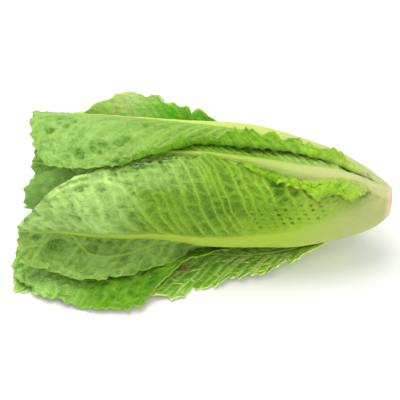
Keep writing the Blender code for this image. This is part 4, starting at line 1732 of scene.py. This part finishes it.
@dataclass
class Studio:
    """Pale floor, soft lights and the camera."""

    axis: HeadAxis
    azimuth: float = 7.0
    elevation: float = 45.0
    distance: float = 1300.0
    target: Triple = (-155.5, 0.0, -17.0)
    field_width: float = 330.0
    sensor: float = 36.0
    floor_half: float = 6.0
    surround: float = 0.58
    lit_point: Triple = (0.0, 0.0, 0.05)

    def floor(self) -> None:
        """Wide pale floor at z = 0."""
        mesh = bpy.data.meshes.new("floor")
        r = self.floor_half
        mesh.from_pydata([(-r, -r, 0), (r, -r, 0), (r, r, 0), (-r, r, 0)], [], [(0, 1, 2, 3)])
        bench = NodeBench("floor")
        bench.dress(Base_Color=(0.9, 0.9, 0.9), Roughness=0.9, Specular_IOR_Level=0.1)
        mesh.materials.append(bench.material)
        floor = bpy.data.objects.new("floor", mesh)
        bpy.context.scene.collection.objects.link(floor)

    def lights(self) -> None:
        """Soft lights above and in front, with an even pale surround."""
        world = bpy.data.worlds.new("surround")
        world.use_nodes = True
        background = world.node_tree.nodes["Background"]
        background.inputs["Color"].default_value = (1, 1, 1, 1)
        background.inputs["Strength"].default_value = self.surround
        bpy.context.scene.world = world
        self.area("key", (-0.4, 0.25, 1.4), 1.4, 19.5)
        self.area("fill", (0.5, -1.1, 1.1), 1.6, 10.5)

    def area(self, name: str, place: Triple, size: float, power: float) -> None:
        """Add a square area light that faces the head.

        Args:
            name: the light's name.
            place: where it hangs, in metres.
            size: its side in metres.
            power: its power in watts.
        """
        data = bpy.data.lights.new(name, "AREA")
        data.size = size
        data.energy = power
        lamp = bpy.data.objects.new(name, data)
        lamp.location = place
        towards = Vector(self.lit_point) - Vector(place)
        lamp.rotation_euler = towards.to_track_quat("-Z", "Y").to_euler()
        bpy.context.scene.collection.objects.link(lamp)

    def camera(self) -> None:
        """Camera above the front, a little to the right."""
        a, e = radians(self.azimuth), radians(self.elevation)
        back = Vector((np.sin(a) * np.cos(e), -np.cos(a) * np.cos(e), np.sin(e)))
        middle = Vector(self.axis.metres(np.array(self.target)).tolist())
        data = bpy.data.cameras.new("camera")
        data.sensor_width = self.sensor
        data.lens = self.sensor * self.distance / self.field_width
        camera = bpy.data.objects.new("camera", data)
        camera.location = middle + back * self.distance * MM
        camera.rotation_euler = (-back).to_track_quat("-Z", "Y").to_euler()
        bpy.context.scene.collection.objects.link(camera)
        bpy.context.scene.camera = camera

    def build(self) -> None:
        """Set the whole stage and how colours are shown."""
        self.floor()
        self.lights()
        self.camera()
        bpy.context.scene.view_settings.view_transform = "Standard"


def main() -> None:
    """Build the stage, the stem and every leaf, and report each piece."""
    logging.basicConfig(level=logging.INFO, format="%(message)s")
    axis = HeadAxis.from_stem()
    Studio(axis).build()
    made = [Stem(axis, StemFinish()).build()]
    for form, finish in LARGE_LEAVES.items():
        made.append(Leaf(form, axis, finish).build())
    made += InnerLeaves(axis).build()
    for piece in made:
        LOG.info("%s: %d faces", piece.name, len(piece.data.polygons))


if __name__ == "__main__":
    main()
